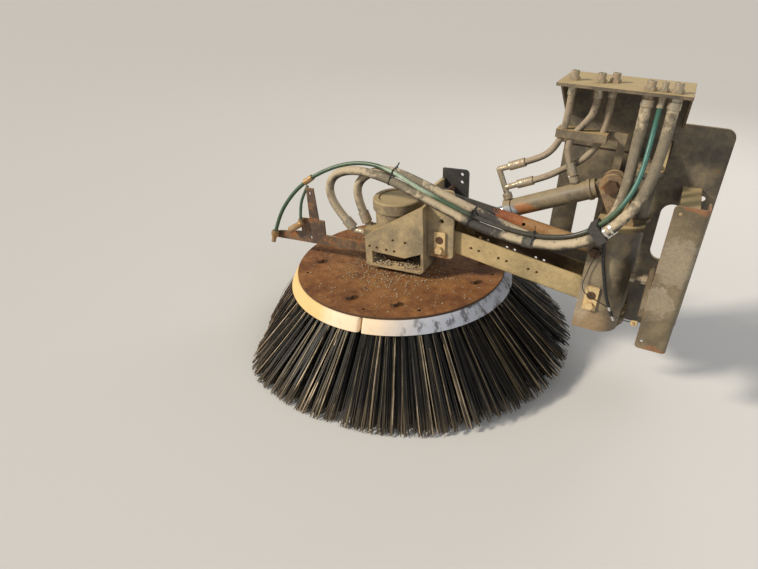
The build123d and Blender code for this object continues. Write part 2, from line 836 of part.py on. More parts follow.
def motor_fittings():
    """Elbow and ferrule of each motor hose, from the port block to the hose's end."""
    fittings = []
    for port, route in ((motor_port_a, motor_hose_a), (motor_port_b, motor_hose_b)):
        start = Vector(*route[0])
        along = (Vector(*route[1]) - start).normalized()
        knee = start - along * ferrule_length
        seat = (head_frame * Pos(*port)).position
        fitting = tube_between(seat, knee, fitting_radius + 2)
        fitting += Pos(knee) * Sphere(fitting_radius + 2)
        fitting += tube_between(knee, start, fitting_radius + 2)
        fitting += tube_between(knee + along * 10, start, motor_hose_radius + ferrule_wall)
        fittings.append(fitting - head_frame * port_block(fitting_gap))
    return fittings


def tube_between(start, end, radius):
    """A round bar from one point to another."""
    plane = Plane(origin=start, z_dir=(end - start))
    return extrude(plane * Circle(radius), (end - start).length)


# Brush
def brush_hub():
    """Hub with a bolted flange, from the motor's shaft to the brush plate."""
    hub = rod_z(0, 0, hub_radius, 0, hub_flange_z)
    hub += rod_z(0, 0, hub_flange_radius, hub_flange_z, hub_flange_z + hub_flange_thickness)
    hub += rod_z(0, 0, hub_neck_radius, hub_flange_z, hub_top_z)
    for turn in range(hub_bolt_count):
        angle = radians(360 * turn / hub_bolt_count)
        x = hub_bolt_circle * cos(angle)
        y = hub_bolt_circle * sin(angle)
        top = hub_flange_z + hub_flange_thickness
        hub += Pos(x, y, top) * extrude(RegularPolygon(9, 6), 9)
    hub -= rod_z(0, 0, shaft_radius + bearing_clearance, shaft_end_z - 2, hub_top_z + 1)
    return head_frame * hub


def brush_plate():
    """Round steel plate with the bolt heads of its segments."""
    plate = rod_z(0, 0, brush_plate_radius, -brush_plate_thickness, 0)
    for angle in plate_bolt_angles():
        x = plate_bolt_circle * cos(radians(angle))
        y = plate_bolt_circle * sin(radians(angle))
        bolt = extrude(RegularPolygon(plate_bolt_radius, 6), plate_bolt_height)
        plate += Pos(x, y, 0) * Rot(0, 0, angle) * bolt
        hole = 1.13 * plate_bolt_circle
        turn = radians(angle + 14)
        plate -= rod_z(hole * cos(turn), hole * sin(turn), 5, -brush_plate_thickness - 1, 1)
    return head_frame * plate


def plate_bolt_angles():
    """Angles of the plate bolts, two on each segment."""
    step = 360 / segment_count
    return [segment_start + step * (turn + share) for turn in range(segment_count) for share in (0.17, 0.83)]


def tuft(angle, root_radius, root_z, tip_radius, tip_z):
    """One tuft of bristles, spreading from its root to its tip."""
    run = tip_radius - root_radius
    drop = root_z - tip_z
    length = hypot(run, drop)
    outward = Vector(run / length, 0, -drop / length)
    root = Plane(origin=(root_radius, 0, root_z), x_dir=(0, 1, 0), z_dir=outward)
    tip = root.offset(length)
    shape = loft(
        [
            root * Rectangle(tuft_root_width, tuft_root_depth),
            tip * Rectangle(tuft_tip_width, tuft_tip_depth),
        ]
    )
    return Rot(0, 0, angle) * shape


def tuft_rows():
    """Rows of tufts: count in a segment, root radius, tip radius and tip height."""
    lean = sin(radians(hypot(lean_front, lean_out)))
    lift = tip_circle_radius * lean
    tip_z = -(ground_drop + brush_top_z - lift) / cos(radians(hypot(lean_front, lean_out)))
    outer_root = segment_bottom_radius - 16
    rows = (
        (12, outer_root, tip_circle_radius - 6, tip_z + 8),
        (11, outer_root - 40, tip_circle_radius - 58, tip_z + 9),
    )
    return rows


def brush_segment(turn):
    """One block of the ring with its tufts."""
    step = 360 / segment_count
    bottom = -brush_plate_thickness - segment_height
    profile = make_face(
        Polyline(
            (segment_inner_radius, -brush_plate_thickness),
            (segment_top_radius, -brush_plate_thickness),
            (segment_bottom_radius, bottom),
            (segment_inner_radius, bottom),
            close=True,
        )
    )
    sweep_angle = step - segment_gap_angle
    ring = revolve(Plane.XZ * profile, Axis.Z, sweep_angle)
    low = ring.bounding_box()
    segment = ring if low.max.Y > 1 else Rot(0, 0, sweep_angle) * ring
    tufts = []
    for count, root_radius, tip_radius, tip_z in tuft_rows():
        for index in range(count):
            angle = (index + 0.5) * sweep_angle / count
            tufts.append(tuft(angle, root_radius, bottom + 4, tip_radius, tip_z))
    segment = segment.fuse(*tufts)
    return head_frame * Rot(0, 0, segment_start + step * turn + segment_gap_angle / 2) * segment


# Guard channel
def guard_channel():
    """Upright channel beside the post, with the lug of the stop bolt."""
    left = guard_middle_x - guard_width / 2
    right = guard_middle_x + guard_width / 2
    front = guard_front_y
    web = Pos(guard_middle_x, (guard_bottom_z + guard_top_z) / 2) * Rectangle(
        guard_width, guard_top_z - guard_bottom_z
    )
    channel = slab(web, front, front + guard_depth)
    bend = channel.edges().filter_by(Axis.Z).group_by(Axis.Y)[0].sort_by(Axis.X)[-1]
    channel = fillet(bend, guard_bend_radius)
    corners = channel.edges().filter_by(Axis.Y).group_by(Axis.X)[0]
    channel = fillet(corners, 10)
    back = front + guard_depth
    channel -= block(
        left - 1, right - guard_wall, front + guard_wall, back + 1, guard_bottom_z - 1, guard_top_z + 1
    )
    for x, z in ((left + 16, guard_top_z - 20), (left + 14, guard_bottom_z + 22)):
        channel -= rod_y(x, z, 5, front - 1, back)
    lug_left = left - stop_lug_thickness
    lug = block(lug_left, left, front + 8, post_middle_y + 28, stop_z - 52, stop_z + 42)
    lug += block(lug_left, left + 12, front + guard_wall, front + 14, stop_z - 52, stop_z + 42)
    lug -= rod_x(post_middle_y, stop_z, stop_bolt_radius + pin_clearance, left - 30, left + 30)
    return channel + lug


def guard_struts():
    """Two square tubes from the mounting plate to the guard channel."""
    struts = []
    for z in (strut_low_z, strut_high_z):
        y_front = guard_front_y + guard_wall
        x_low = guard_middle_x - strut_size / 2
        z_low = z - strut_size / 2
        tube = block(x_low, x_low + strut_size, y_front, -plate_thickness, z_low, z_low + strut_size)
        inner = strut_wall
        tube -= block(
            x_low + inner,
            x_low + strut_size - inner,
            y_front - 1,
            -plate_thickness + 1,
            z_low + inner,
            z_low + strut_size - inner,
        )
        struts.append(tube)
    return struts


def stop_bolt():
    """Bolt whose end meets the post, with a nut on each side of its lug."""
    left = guard_middle_x - guard_width / 2
    tip = post_bend_x + post_half_width + stop_gap
    bolt = rod_x(post_middle_y, stop_z, stop_bolt_radius, tip, left + 22)
    for x in (tip, left - stop_lug_thickness - stop_nut_height, left):
        head = Plane.YZ * RegularPolygon(stop_nut_radius, 6)
        bolt += Pos(x, post_middle_y, stop_z) * extrude(head, stop_nut_height)
    return bolt


# Hose bulkhead
def hose_bulkhead():
    """Folded plate on the mounting plate's front, with a shelf that carries the hose ports."""
    front = -plate_thickness - bulkhead_thickness
    left = bulkhead_left_x
    right = bulkhead_right_x
    bottom = bulkhead_bottom_z
    bulkhead = block(left, right, bulkhead_front_y, -plate_thickness, bottom, bulkhead_top_z)
    space_top = bulkhead_top_z - bulkhead_thickness
    bulkhead = fillet(bulkhead.edges().filter_by(Axis.X).group_by(Axis.Y)[-1].group_by(Axis.Z)[-1], 14)
    space = block(left - 1, right + 1, bulkhead_front_y - 1, front, bottom - 1, space_top)
    space = fillet(space.edges().filter_by(Axis.X).group_by(Axis.Y)[-1].group_by(Axis.Z)[-1], 6)
    bulkhead -= space
    notch_half = ear_radius + bulkhead_notch_gap
    notch_top = upper_ear_bottom + ear_thickness + upper_gusset_height + bulkhead_notch_gap
    bulkhead -= block(pivot_x - notch_half, pivot_x + notch_half, front - 1, 0, bottom - 1, notch_top)
    lip_y = bulkhead_front_y + bulkhead_gusset_lip
    triangle = make_face(
        Polyline((front, space_top), (lip_y, space_top), (front, bulkhead_gusset_low_z), close=True)
    )
    for x in (left, right - bulkhead_gusset_thickness):
        bulkhead += Pos(x, 0, 0) * extrude(Plane.YZ * triangle, bulkhead_gusset_thickness)
    for x, y, radius in ports:
        bulkhead -= rod_z(x, y, port_radius(radius) + pin_clearance, space_top - 1, bulkhead_top_z + 1)
    return bulkhead


def port_radius(hose_radius):
    """Outer radius of a port's body where it passes the bulkhead."""
    return min(hose_radius + 1, port_bore_radius + 3)


def bulkhead_fittings():
    """Ports through the shelf, each with a collar, a nut and a ferrule for its hose."""
    fittings = []
    space_top = bulkhead_top_z - bulkhead_thickness
    for x, y, radius in ports:
        body_radius = port_radius(radius)
        port = rod_z(x, y, radius + 2, hose_end_z, space_top - 12)
        port += Pos(x, y, space_top - 12) * extrude(RegularPolygon(body_radius + 4, 6), 12)
        port += rod_z(x, y, body_radius, space_top, bulkhead_top_z + 24)
        port += Pos(x, y, bulkhead_top_z) * extrude(RegularPolygon(body_radius + 4, 6), 9)
        bore = min(port_bore_radius, body_radius - 3)
        port -= rod_z(x, y, bore, bulkhead_top_z + 24 - port_bore_depth, bulkhead_top_z + 25)
        fittings.append(port)
    return fittings


# Hose clamp and spray gear
def hose_clamp():
    """Block on the post's front, round the motor hoses and the water line."""
    run_start = Vector(*motor_hose_a[motor_hose_a_cuts[1]])
    run_end = Vector(*motor_hose_a[motor_hose_a_cuts[1] + 1])
    middle = (run_start + run_end) * 0.5
    along = (run_end - run_start).normalized()
    slope = degrees(atan2(along.Z, along.X))
    front = run_start.Y - motor_hose_radius - clamp_wall
    depth = post_front_y - front
    height = 2 * (motor_hose_radius + clamp_wall) + clamp_top
    turned = Pos(middle.X, front + depth / 2, middle.Z) * Rot(0, -slope, 0)
    clamp = turned * Pos(0, 0, clamp_top / 2) * Box(clamp_length, depth, height)
    for route, radius in (
        (motor_hose_a, motor_hose_radius),
        (motor_hose_b, motor_hose_radius),
        (water_line, water_line_radius),
    ):
        for section in hose(route, radius + fitting_gap):
            clamp -= section
    return clamp


def cylinder_hose_routes():
    """Whole routes of the cylinder's hoses, from their ferrules to the bulkhead."""
    starts = (
        (-base_port_at, base_fitting_top, 0, 25, base_hose),
        (-low_branch_end, low_branch, 40, 0, low_branch_hose),
        (-high_branch_end, high_branch, 40, 0, high_branch_hose),
    )
    routes = []
    for along, height, ahead, up, rest in starts:
        first = (cylinder_frame * Pos(along, 0, height)).position
        second = (cylinder_frame * Pos(along + ahead, 0, height + up)).position
        routes.append([first, second] + rest)
    return routes


def hose_guide():
    """Bracket on the post's back with a block that holds the cylinder's hoses."""
    back = post_back_y + weld_gap
    shape = make_face(
        Polyline(
            (-62, 20),
            (-41, 20),
            (-41, guide_top_z),
            (guide_left_x, guide_top_z),
            (guide_left_x, guide_bottom_z),
            (-62, guide_bottom_z),
            close=True,
        )
    )
    bracket = slab(shape, back, back + guide_thickness)
    jaw = block(guide_left_x, guide_right_x, guide_front_y, post_back_y, guide_bottom_z, guide_top_z)
    for route in cylinder_hose_routes():
        for section in hose(route, cylinder_hose_radius + fitting_gap):
            jaw -= section
    return [bracket, jaw]


def spray_bracket():
    """Flat bar from the motor bracket to the nozzles, with an upright tab for the water line."""
    back = -bracket_half_width + bracket_wall
    outline = make_face(
        Polyline(
            (bracket_left_x + 22, 62),
            (bracket_left_x + 22, 98),
            (-240, 98),
            (-240, 150),
            (-262, 150),
            (-270, 262),
            (-298, 262),
            (-298, 150),
            (-336, 150),
            (-336, 98),
            (-446, 84),
            (-446, 58),
            close=True,
        )
    )
    outline -= Pos(-286, 244) * Circle(5)
    outline -= Pos(-300, 80) * Circle(5)
    return head_frame * slab(outline, back + weld_gap, back + weld_gap + spray_bar_thickness)


def spray_nozzles():
    """Two water nozzles on the bar's front, and the tee that feeds the second."""
    first = Vector(*water_line[0])
    down = (first - Vector(*water_line[1])).normalized()
    nozzle = tube_between(first, first + down * 22, nozzle_radius)
    nozzle += tube_between(first + down * 22, first + down * 44, nozzle_radius - 3)
    nozzle += tube_between(first + down * 6, first + down * 16, nozzle_radius + 3)
    second = Vector(*spray_branch[0])
    drop = (second - Vector(*spray_branch[1])).normalized()
    tip = Vector(-46, 2, -34)
    elbow = tube_between(second, second + drop * 16, nozzle_radius - 2)
    knee = second + drop * 16
    elbow += Pos(knee) * Sphere(nozzle_radius)
    elbow += tube_between(knee, knee + tip, nozzle_radius)
    return [nozzle, elbow]


def bend_radii(route):
    """Radius of the bend at each inner point: as large as the shorter run beside it allows."""
    points = [Vector(*point) for point in route]
    radii = []
    for before, here, after in zip(points, points[1:], points[2:]):
        turn = radians((here - before).get_angle(after - here))
        shorter = min((here - before).length, (after - here).length)
        radii.append(0.45 * shorter / tan(turn / 2))
    return radii


def hose(route, radius, cuts=()):
    """A round hose, whole or in sections that meet in the middle of the runs named by cuts."""
    points = [Vector(*point) for point in route]
    radii = bend_radii(route)
    firsts = [-1] + list(cuts)
    lasts = list(cuts) + [len(points) - 1]
    sections = []
    for first, last in zip(firsts, lasts):
        inner = points[max(first + 1, 1) : last + 1]
        bends = radii[max(first, 0) : last]
        start = points[0] if first < 0 else (points[first] + points[first + 1]) * 0.5
        end = points[-1] if last == len(points) - 1 else (points[last] + points[last + 1]) * 0.5
        if last == len(points) - 1:
            inner = inner[:-1]
        path = FilletPolyline(start, *inner, end, radius=bends)
        section = sweep(Plane(origin=start, z_dir=inner[0] - start) * Circle(radius), path)
        sections.append(section)
        share = section.volume / (path.length * pi * radius * radius)
        size = f"radius {radius}, length {path.length:.0f}, bends {min(bends):.0f} and up"
        print(f"hose section: {size}, volume {share:.4f}")
    return sections


def water_tee():
    """Tee on the water line where the second nozzle branches off."""
    start, end = Vector(*water_line[3]), Vector(*water_line[4])
    middle = (start + end) * 0.5
    along = (end - start).normalized()
    tee = tube_between(middle - along * 18, middle + along * 18, water_line_radius + ferrule_wall)
    tee -= tube_between(start, end, water_line_radius + fitting_gap)
    tee -= hose(spray_branch, spray_branch_radius + fitting_gap)[0]
    return tee


nodes = {
    "mounting_plate": mounting_plate(),
    "bearing_ears": bearing_ears(),
    "king_pin": king_pin(),
    "guard_channel": guard_channel(),
    "guard_struts": guard_struts(),
    "stop_bolt": stop_bolt(),
    "hose_bulkhead": hose_bulkhead(),
    "bulkhead_fittings": bulkhead_fittings(),
    "swing_post": swing_post(),
    "swing_tube": swing_tube(),
    "cylinder_ears": cylinder_ears(),
    "post_pins": post_pins(),
    "post_keeper": post_keeper(),
    "hose_clamp": hose_clamp(),
    "hose_guide": hose_guide(),
    "arm_channel": arm_channel(),
    "rod_lug": rod_lug(),
    "rod_pin": rod_pin(),
    "upper_link": upper_link(),
    "cylinder_barrel": cylinder_barrel(),
    "cylinder_fittings": cylinder_fittings(),
    "cylinder_rod": cylinder_rod(),
    "head_carrier": head_carrier(),
    "head_pins": head_pins(),
    "head_keeper": head_keeper(),
    "motor_bracket": motor_bracket(),
    "motor_can": motor_can(),
    "motor_fittings": motor_fittings(),
    "spray_bracket": spray_bracket(),
    "spray_nozzles": spray_nozzles(),
    "spray_branch": hose(spray_branch, spray_branch_radius),
    "water_tee": water_tee(),
    "brush_hub": brush_hub(),
    "brush_plate": brush_plate(),
}
for turn in range(segment_count):
    nodes[f"brush_segment_{turn + 1}"] = brush_segment(turn)

first_hose = hose(motor_hose_a, motor_hose_radius, motor_hose_a_cuts)
second_hose = hose(motor_hose_b, motor_hose_radius, motor_hose_b_cuts)
water_hose = hose(water_line, water_line_radius, water_line_cuts)
for number, section in enumerate(("head", "arm", "frame")):
    nodes[f"motor_hoses_{section}"] = [first_hose[number], second_hose[number]]
    nodes[f"water_line_{section}"] = water_hose[number]
lift_hoses = [
    hose(route, cylinder_hose_radius, (cut,)) for route, cut in zip(cylinder_hose_routes(), lift_hose_cuts)
]
nodes["lift_hoses_cylinder"] = [sections[0] for sections in lift_hoses]
nodes["lift_hoses_frame"] = [sections[1] for sections in lift_hoses]

os.makedirs("parts", exist_ok=True)
for name, shape in nodes.items():
    pieces = shape if isinstance(shape, list) else [shape]
    solids = [solid for piece in pieces for solid in piece.solids()]
    export_step(Compound(children=solids) if len(solids) > 1 else solids[0], f"parts/{name}.step")
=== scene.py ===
"""Looks of the gutter broom and swing arm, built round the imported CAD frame. Metres, +Z up."""

from __future__ import annotations

import json
import logging
import math
import random
from collections.abc import Iterable, Sequence
from dataclasses import dataclass, field
from enum import Enum
from typing import Any

import bpy
from mathutils import Matrix, Vector
from mathutils.bvhtree import BVHTree

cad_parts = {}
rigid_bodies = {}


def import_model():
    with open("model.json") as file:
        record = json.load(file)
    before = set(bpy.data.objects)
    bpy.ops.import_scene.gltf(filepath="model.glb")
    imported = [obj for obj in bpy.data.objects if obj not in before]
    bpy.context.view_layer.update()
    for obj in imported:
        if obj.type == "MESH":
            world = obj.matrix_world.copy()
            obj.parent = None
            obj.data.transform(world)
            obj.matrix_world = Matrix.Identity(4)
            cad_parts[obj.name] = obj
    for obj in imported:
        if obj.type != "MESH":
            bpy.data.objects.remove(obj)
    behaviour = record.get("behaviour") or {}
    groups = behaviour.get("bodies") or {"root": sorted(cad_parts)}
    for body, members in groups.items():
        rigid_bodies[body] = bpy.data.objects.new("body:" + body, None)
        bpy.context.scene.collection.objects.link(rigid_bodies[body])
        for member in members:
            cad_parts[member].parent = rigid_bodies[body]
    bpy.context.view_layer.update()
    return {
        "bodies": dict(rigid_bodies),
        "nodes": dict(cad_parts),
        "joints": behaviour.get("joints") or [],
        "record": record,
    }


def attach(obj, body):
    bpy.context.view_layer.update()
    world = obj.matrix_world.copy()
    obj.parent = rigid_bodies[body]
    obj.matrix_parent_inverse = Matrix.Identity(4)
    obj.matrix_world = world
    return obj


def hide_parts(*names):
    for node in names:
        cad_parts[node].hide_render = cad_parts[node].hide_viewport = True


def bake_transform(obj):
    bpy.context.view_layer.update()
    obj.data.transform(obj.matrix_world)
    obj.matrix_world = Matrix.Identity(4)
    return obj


Rgb = tuple[float, float, float]
Point = tuple[float, float, float]
Face = tuple[int, ...]
Outline = Sequence[tuple[float, float]]
Rings = list[tuple[Vector, float]]

log = logging.getLogger("gutter_broom")

# Height of the floor.
GROUND = -0.470
# Roughness of dust and rust.
MATT = 0.88
# Middle of the brush plate's top. The plate is low at the front of the truck and at the near side.
HEAD = (
    Matrix.Translation((-0.660, -0.200, -0.215))
    @ Matrix.Rotation(math.radians(-4.0), 4, "Y")
    @ Matrix.Rotation(math.radians(2.5), 4, "X")
)


class Body(Enum):
    """Rigid bodies that new pieces ride on, as the record names them."""

    FRAME = "frame_side"
    POST = "post"
    ARM = "arm"
    CYLINDER = "cylinder"
    HEAD = "head"
    BRUSH = "brush"


class Slot(Enum):
    """Material slots of the record, kept on each hose section."""

    HOSE = "hose_rubber"
    WATER = "water_hose"
    BLOCK = "brush_block"


def metres(points: Iterable[Point]) -> list[Vector]:
    """Points in millimetres as vectors in metres."""
    return [Vector(point) / 1000 for point in points]


def scaled(colour: Rgb, factor: float, lift: float = 0.0) -> Rgb:
    """A colour made lighter or darker, with no part above 1."""
    return tuple(min(1.0, part * factor + lift) for part in colour)


class Wire:
    """A node socket that takes part in sums, with numbers or with other sockets."""

    def __init__(self, graph: Graph, socket: bpy.types.NodeSocket) -> None:
        """Keeps the socket and the graph that it belongs to."""
        self.graph = graph
        self.socket = socket

    def _maths(self, operation: str, first: Any, second: Any) -> Wire:
        """Adds one Math node and returns its result."""
        return self.graph.node("ShaderNodeMath", {"operation": operation}, {0: first, 1: second})

    def __add__(self, other: Any) -> Wire:
        """Sum."""
        return self._maths("ADD", self, other)

    __radd__ = __add__

    def __sub__(self, other: Any) -> Wire:
        """Difference."""
        return self._maths("SUBTRACT", self, other)

    def __rsub__(self, other: Any) -> Wire:
        """Difference, the other way round."""
        return self._maths("SUBTRACT", other, self)

    def __mul__(self, other: Any) -> Wire:
        """Product."""
        return self._maths("MULTIPLY", self, other)

    __rmul__ = __mul__

    def most(self, other: Any) -> Wire:
        """The larger of two values."""
        return self._maths("MAXIMUM", self, other)


class Graph:
    """The node tree of one finish, ending in a Principled shader."""

    def __init__(self, name: str) -> None:
        """Makes an empty material with its shader and output.

        Args:
            name: Name of the material.
        """
        self.material = bpy.data.materials.new(name)
        self.material.use_nodes = True
        self.tree = self.material.node_tree
        self.tree.nodes.clear()
        self.shader = self.tree.nodes.new("ShaderNodeBsdfPrincipled")
        out = self.tree.nodes.new("ShaderNodeOutputMaterial")
        self.tree.links.new(self.shader.outputs[0], out.inputs[0])
        self._place: Wire | None = None

    def node(
        self,
        kind: str,
        settings: dict[str, Any] | None = None,
        sockets: dict[int | str, Any] | None = None,
        output: int | str = 0,
    ) -> Wire:
        """Adds a node, sets it, then fills its sockets.

        Args:
            kind: Blender's type of the node.
            settings: Properties that are set first. The stops of a ramp go under "stops".
            sockets: Values or wires by socket name or number.
            output: The output that is wanted.

        Returns:
            That output.
        """
        made = self.tree.nodes.new(kind)
        for key, value in (settings or {}).items():
            if key == "stops":
                ramp = made.color_ramp
                while len(ramp.elements) < len(value):
                    ramp.elements.new(1.0)
                for element, (place, colour) in zip(ramp.elements, value):
                    element.position = place
                    element.color = (*colour, 1.0)
            else:
                setattr(made, key, value)
        for key, value in (sockets or {}).items():
            self._fill(made.inputs[key], value)
        return Wire(self, made.outputs[output])

    def _fill(self, socket: bpy.types.NodeSocket, value: Any) -> None:
        """Links a wire to a socket, or sets its value.

        Args:
            socket: The socket.
            value: A wire, a number, a vector, or a colour of three numbers.
        """
        if isinstance(value, Wire):
            self.tree.links.new(value.socket, socket)
        elif socket.type == "RGBA" and len(value) == 3:
            socket.default_value = (*value, 1.0)
        else:
            socket.default_value = value

    def set(self, **sockets: Any) -> None:
        """Fills sockets of the Principled shader; an underscore in a name stands for a space."""
        for key, value in sockets.items():
            self._fill(self.shader.inputs[key.replace("_", " ")], value)

    def place(self) -> Wire:
        """Coordinates in the part's frame, in metres.

        Returns:
            The coordinates, from one node for the whole finish.
        """
        if self._place is None:
            self._place = self.node("ShaderNodeTexCoord", output="Object")
        return self._place

    def stretched(self, scale: Point) -> Wire:
        """The piece's coordinates with each axis scaled."""
        return self.node("ShaderNodeVectorMath", {"operation": "MULTIPLY"}, {0: self.place(), 1: scale})

    def noise(self, scale: float, detail: float = 3.0, rough: float = 0.55, at: Wire | None = None) -> Wire:
        """Cloudy noise from 0 to 1, of so many cells in a metre, finer layers and their strength."""
        sockets = {"Vector": at or self.place(), "Scale": scale, "Detail": detail, "Roughness": rough}
        return self.node("ShaderNodeTexNoise", None, sockets)

    def cells(self, scale: float) -> Wire:
        """Distance to the nearest of many scattered points."""
        return self.node("ShaderNodeTexVoronoi", None, {"Vector": self.place(), "Scale": scale})

    def ease(self, value: Wire, low: float, high: float) -> Wire:
        """Smooth step from 0 at low to 1 at high."""
        sockets = {"Value": value, "From Min": low, "From Max": high}
        return self.node("ShaderNodeMapRange", {"interpolation_type": "SMOOTHSTEP"}, sockets)

    def mix(self, share: Any, first: Any, second: Any) -> Wire:
        """Colour between two colours."""
        settings = {"data_type": "RGBA", "clamp_factor": True}
        return self.node("ShaderNodeMix", settings, {0: share, 6: first, 7: second}, 2)

    def ramp(self, value: Wire, stops: Sequence[tuple[float, Rgb]]) -> Wire:
        """Colour from a ramp."""
        return self.node("ShaderNodeValToRGB", {"stops": stops}, {"Fac": value})

    def part(self, vector: Wire, axis: str) -> Wire:
        """One component of a vector."""
        return self.node("ShaderNodeSeparateXYZ", None, {0: vector}, axis)

    def upward(self) -> Wire:
        """How far the surface faces up, from -1 to 1, with the piece at rest."""
        return self.part(self.node("ShaderNodeTexCoord", output="Normal"), "Z")

    def rounded(self, radius: float) -> Wire:
        """Normal with the edges rounded."""
        return self.node("ShaderNodeBevel", {"samples": 4}, {"Radius": radius})

    def edges(self, radius: float) -> Wire:
        """Finds where the surface turns.

        Args:
            radius: Reach of an edge, in metres.

        Returns:
            1 along the outer and inner edges, 0 on flat ground.
        """
        flat = self.node("ShaderNodeNewGeometry", output="Normal")
        settings = {"operation": "DOT_PRODUCT"}
        cosine = self.node("ShaderNodeVectorMath", settings, {0: self.rounded(radius), 1: flat}, "Value")
        return self.ease(1.0 - cosine, 0.01, 0.22)

    def near(self, spot: Spot, blur: Wire) -> Wire:
        """Covers a spot, with a ragged rim.

        Args:
            spot: The spot.
            blur: Noise that frays its rim.

        Returns:
            Share of the spot at each place.
        """
        sockets = {0: self.place(), 1: spot.centre}
        away = self.node("ShaderNodeVectorMath", {"operation": "SUBTRACT"}, sockets)
        sockets = {0: away, 1: tuple(1.0 / reach for reach in spot.reach)}
        scaled = self.node("ShaderNodeVectorMath", {"operation": "MULTIPLY"}, sockets)
        distance = self.node("ShaderNodeVectorMath", {"operation": "LENGTH"}, {0: scaled}, "Value")
        ragged = distance + (blur - 0.5) * spot.ragged
        return self.ease(ragged, 1.0, 0.6) * spot.strength

    def bump(self, height: Wire, strength: float, depth: float, normal: Wire | None = None) -> None:
        """Raises the shader's normal by a height.

        Args:
            height: The height, 0 to 1.
            strength: Strength of the effect.
            depth: Height of 1, in metres.
            normal: Normal that is raised, the surface's own if left out.
        """
        sockets = {"Height": height, "Strength": strength, "Distance": depth}
        if normal is not None:
            sockets["Normal"] = normal
        self.set(Normal=self.node("ShaderNodeBump", None, sockets))


@dataclass(frozen=True)
class Finish:
    """A surface finish.

    Attributes:
        name: Name of its material.
    """

    name: str

    def material(self) -> bpy.types.Material:
        """Builds the finish's material."""
        raise NotImplementedError(self.name)


@dataclass(frozen=True)
class Spot:
    """A stain, wear mark, patch of dust or patch of painted shade at one place.

    Attributes:
        centre: Its middle in the part's frame, in metres.
        reach: Half sizes, in metres.
        colour: Its colour.
        strength: How much it covers.
        ragged: How uneven its rim is.
    """

    centre: Point
    reach: Point
    colour: Rgb
    strength: float = 0.85
    ragged: float = 1.2


@dataclass(frozen=True)
class DustyPaint(Finish):
    """Old paint on steel: dust on top, rust along edges and in patches, scratches and stains.

    Attributes:
        paint: Colour of the paint.
        dust: Colour of the dust.
        rust: Dark and light rust.
        dusty: Share of dust on faces that look up.
        film: Share of dust anywhere.
        worn: Share of rust along edges.
        rusty: Share of rust in patches.
        gloss: Roughness of the bare paint.
        spots: Local stains, and some patches of painted shade.
    """

    paint: Rgb
    dust: Rgb = (0.47, 0.350, 0.165)
    rust: tuple[Rgb, Rgb] = ((0.09, 0.035, 0.015), (0.32, 0.13, 0.045))
    dusty: float = 0.8
    film: float = 0.45
    worn: float = 0.7
    rusty: float = 0.15
    gloss: float = 0.45
    spots: tuple[Spot, ...] = ()

    def material(self) -> bpy.types.Material:
        """Builds the finish.

        Returns:
            Its material.
        """
        g = Graph(self.name)
        cloud = g.noise(7.0, 5.0)
        patch = g.noise(28.0, 5.0, 0.65)
        grit = g.noise(420.0, 2.0)
        fine = g.noise(130.0, 3.0, 0.6)
        edge = g.edges(0.0035)
        darker, lighter = scaled(self.paint, 0.62), scaled(self.paint, 1.3, 0.02)
        colour = g.ramp(cloud * 0.6 + fine * 0.4, ((0.3, darker), (0.5, self.paint), (0.72, lighter)))
        settled = g.ease(g.upward() + (patch - 0.5) * 0.9, 0.15, 0.85) * self.dusty
        film = g.ease(cloud * 0.5 + patch * 0.5 + (grit - 0.5) * 0.35, 0.38, 0.68) * self.film
        dust_share = settled.most(film)
        dust = g.ramp(grit * 0.5 + patch * 0.5, ((0.35, self.dust), (0.7, scaled(self.dust, 1.35))))
        colour = g.mix(dust_share, colour, dust)
        rust_field = patch * 0.55 + fine * 0.3 + cloud * 0.15
        threshold = 0.72 - self.rusty * 0.35
        patches = g.ease(rust_field, threshold, threshold + 0.05)
        rim = g.ease(edge * self.worn + (fine - 0.5) * 0.9 + (patch - 0.5) * 0.7, 0.42, 0.75)
        rust_share = patches.most(rim)
        rust_colour = g.ramp(fine * 0.6 + grit * 0.4, ((0.35, self.rust[0]), (0.62, self.rust[1])))
        colour = g.mix(rust_share, colour, rust_colour)
        # Each spot paints a stain, or a patch of painted shade.
        for spot in self.spots:
            stain = g.ramp(fine * 0.5 + grit * 0.5, ((0.38, scaled(spot.colour, 0.7)), (0.6, spot.colour)))
            colour = g.mix(g.near(spot, patch), colour, stain)
        specks = g.ease(g.cells(260.0), 0.16, 0.08) * g.ease(patch, 0.45, 0.6)
        colour = g.mix(specks * 0.5, colour, (0.10, 0.07, 0.045))
        g.set(Base_Color=colour)
        matt = g.ease(dust_share + rust_share, 0.0, 1.0) * (MATT - self.gloss)
        g.set(Roughness=matt + self.gloss + fine * 0.08)
        height = fine * 0.35 + grit * 0.25 + rust_share * 0.5 + dust_share * 0.2
        g.bump(height, 0.55, 0.0008, g.rounded(0.0016))
        g.set(Metallic=0.0)
        return g.material


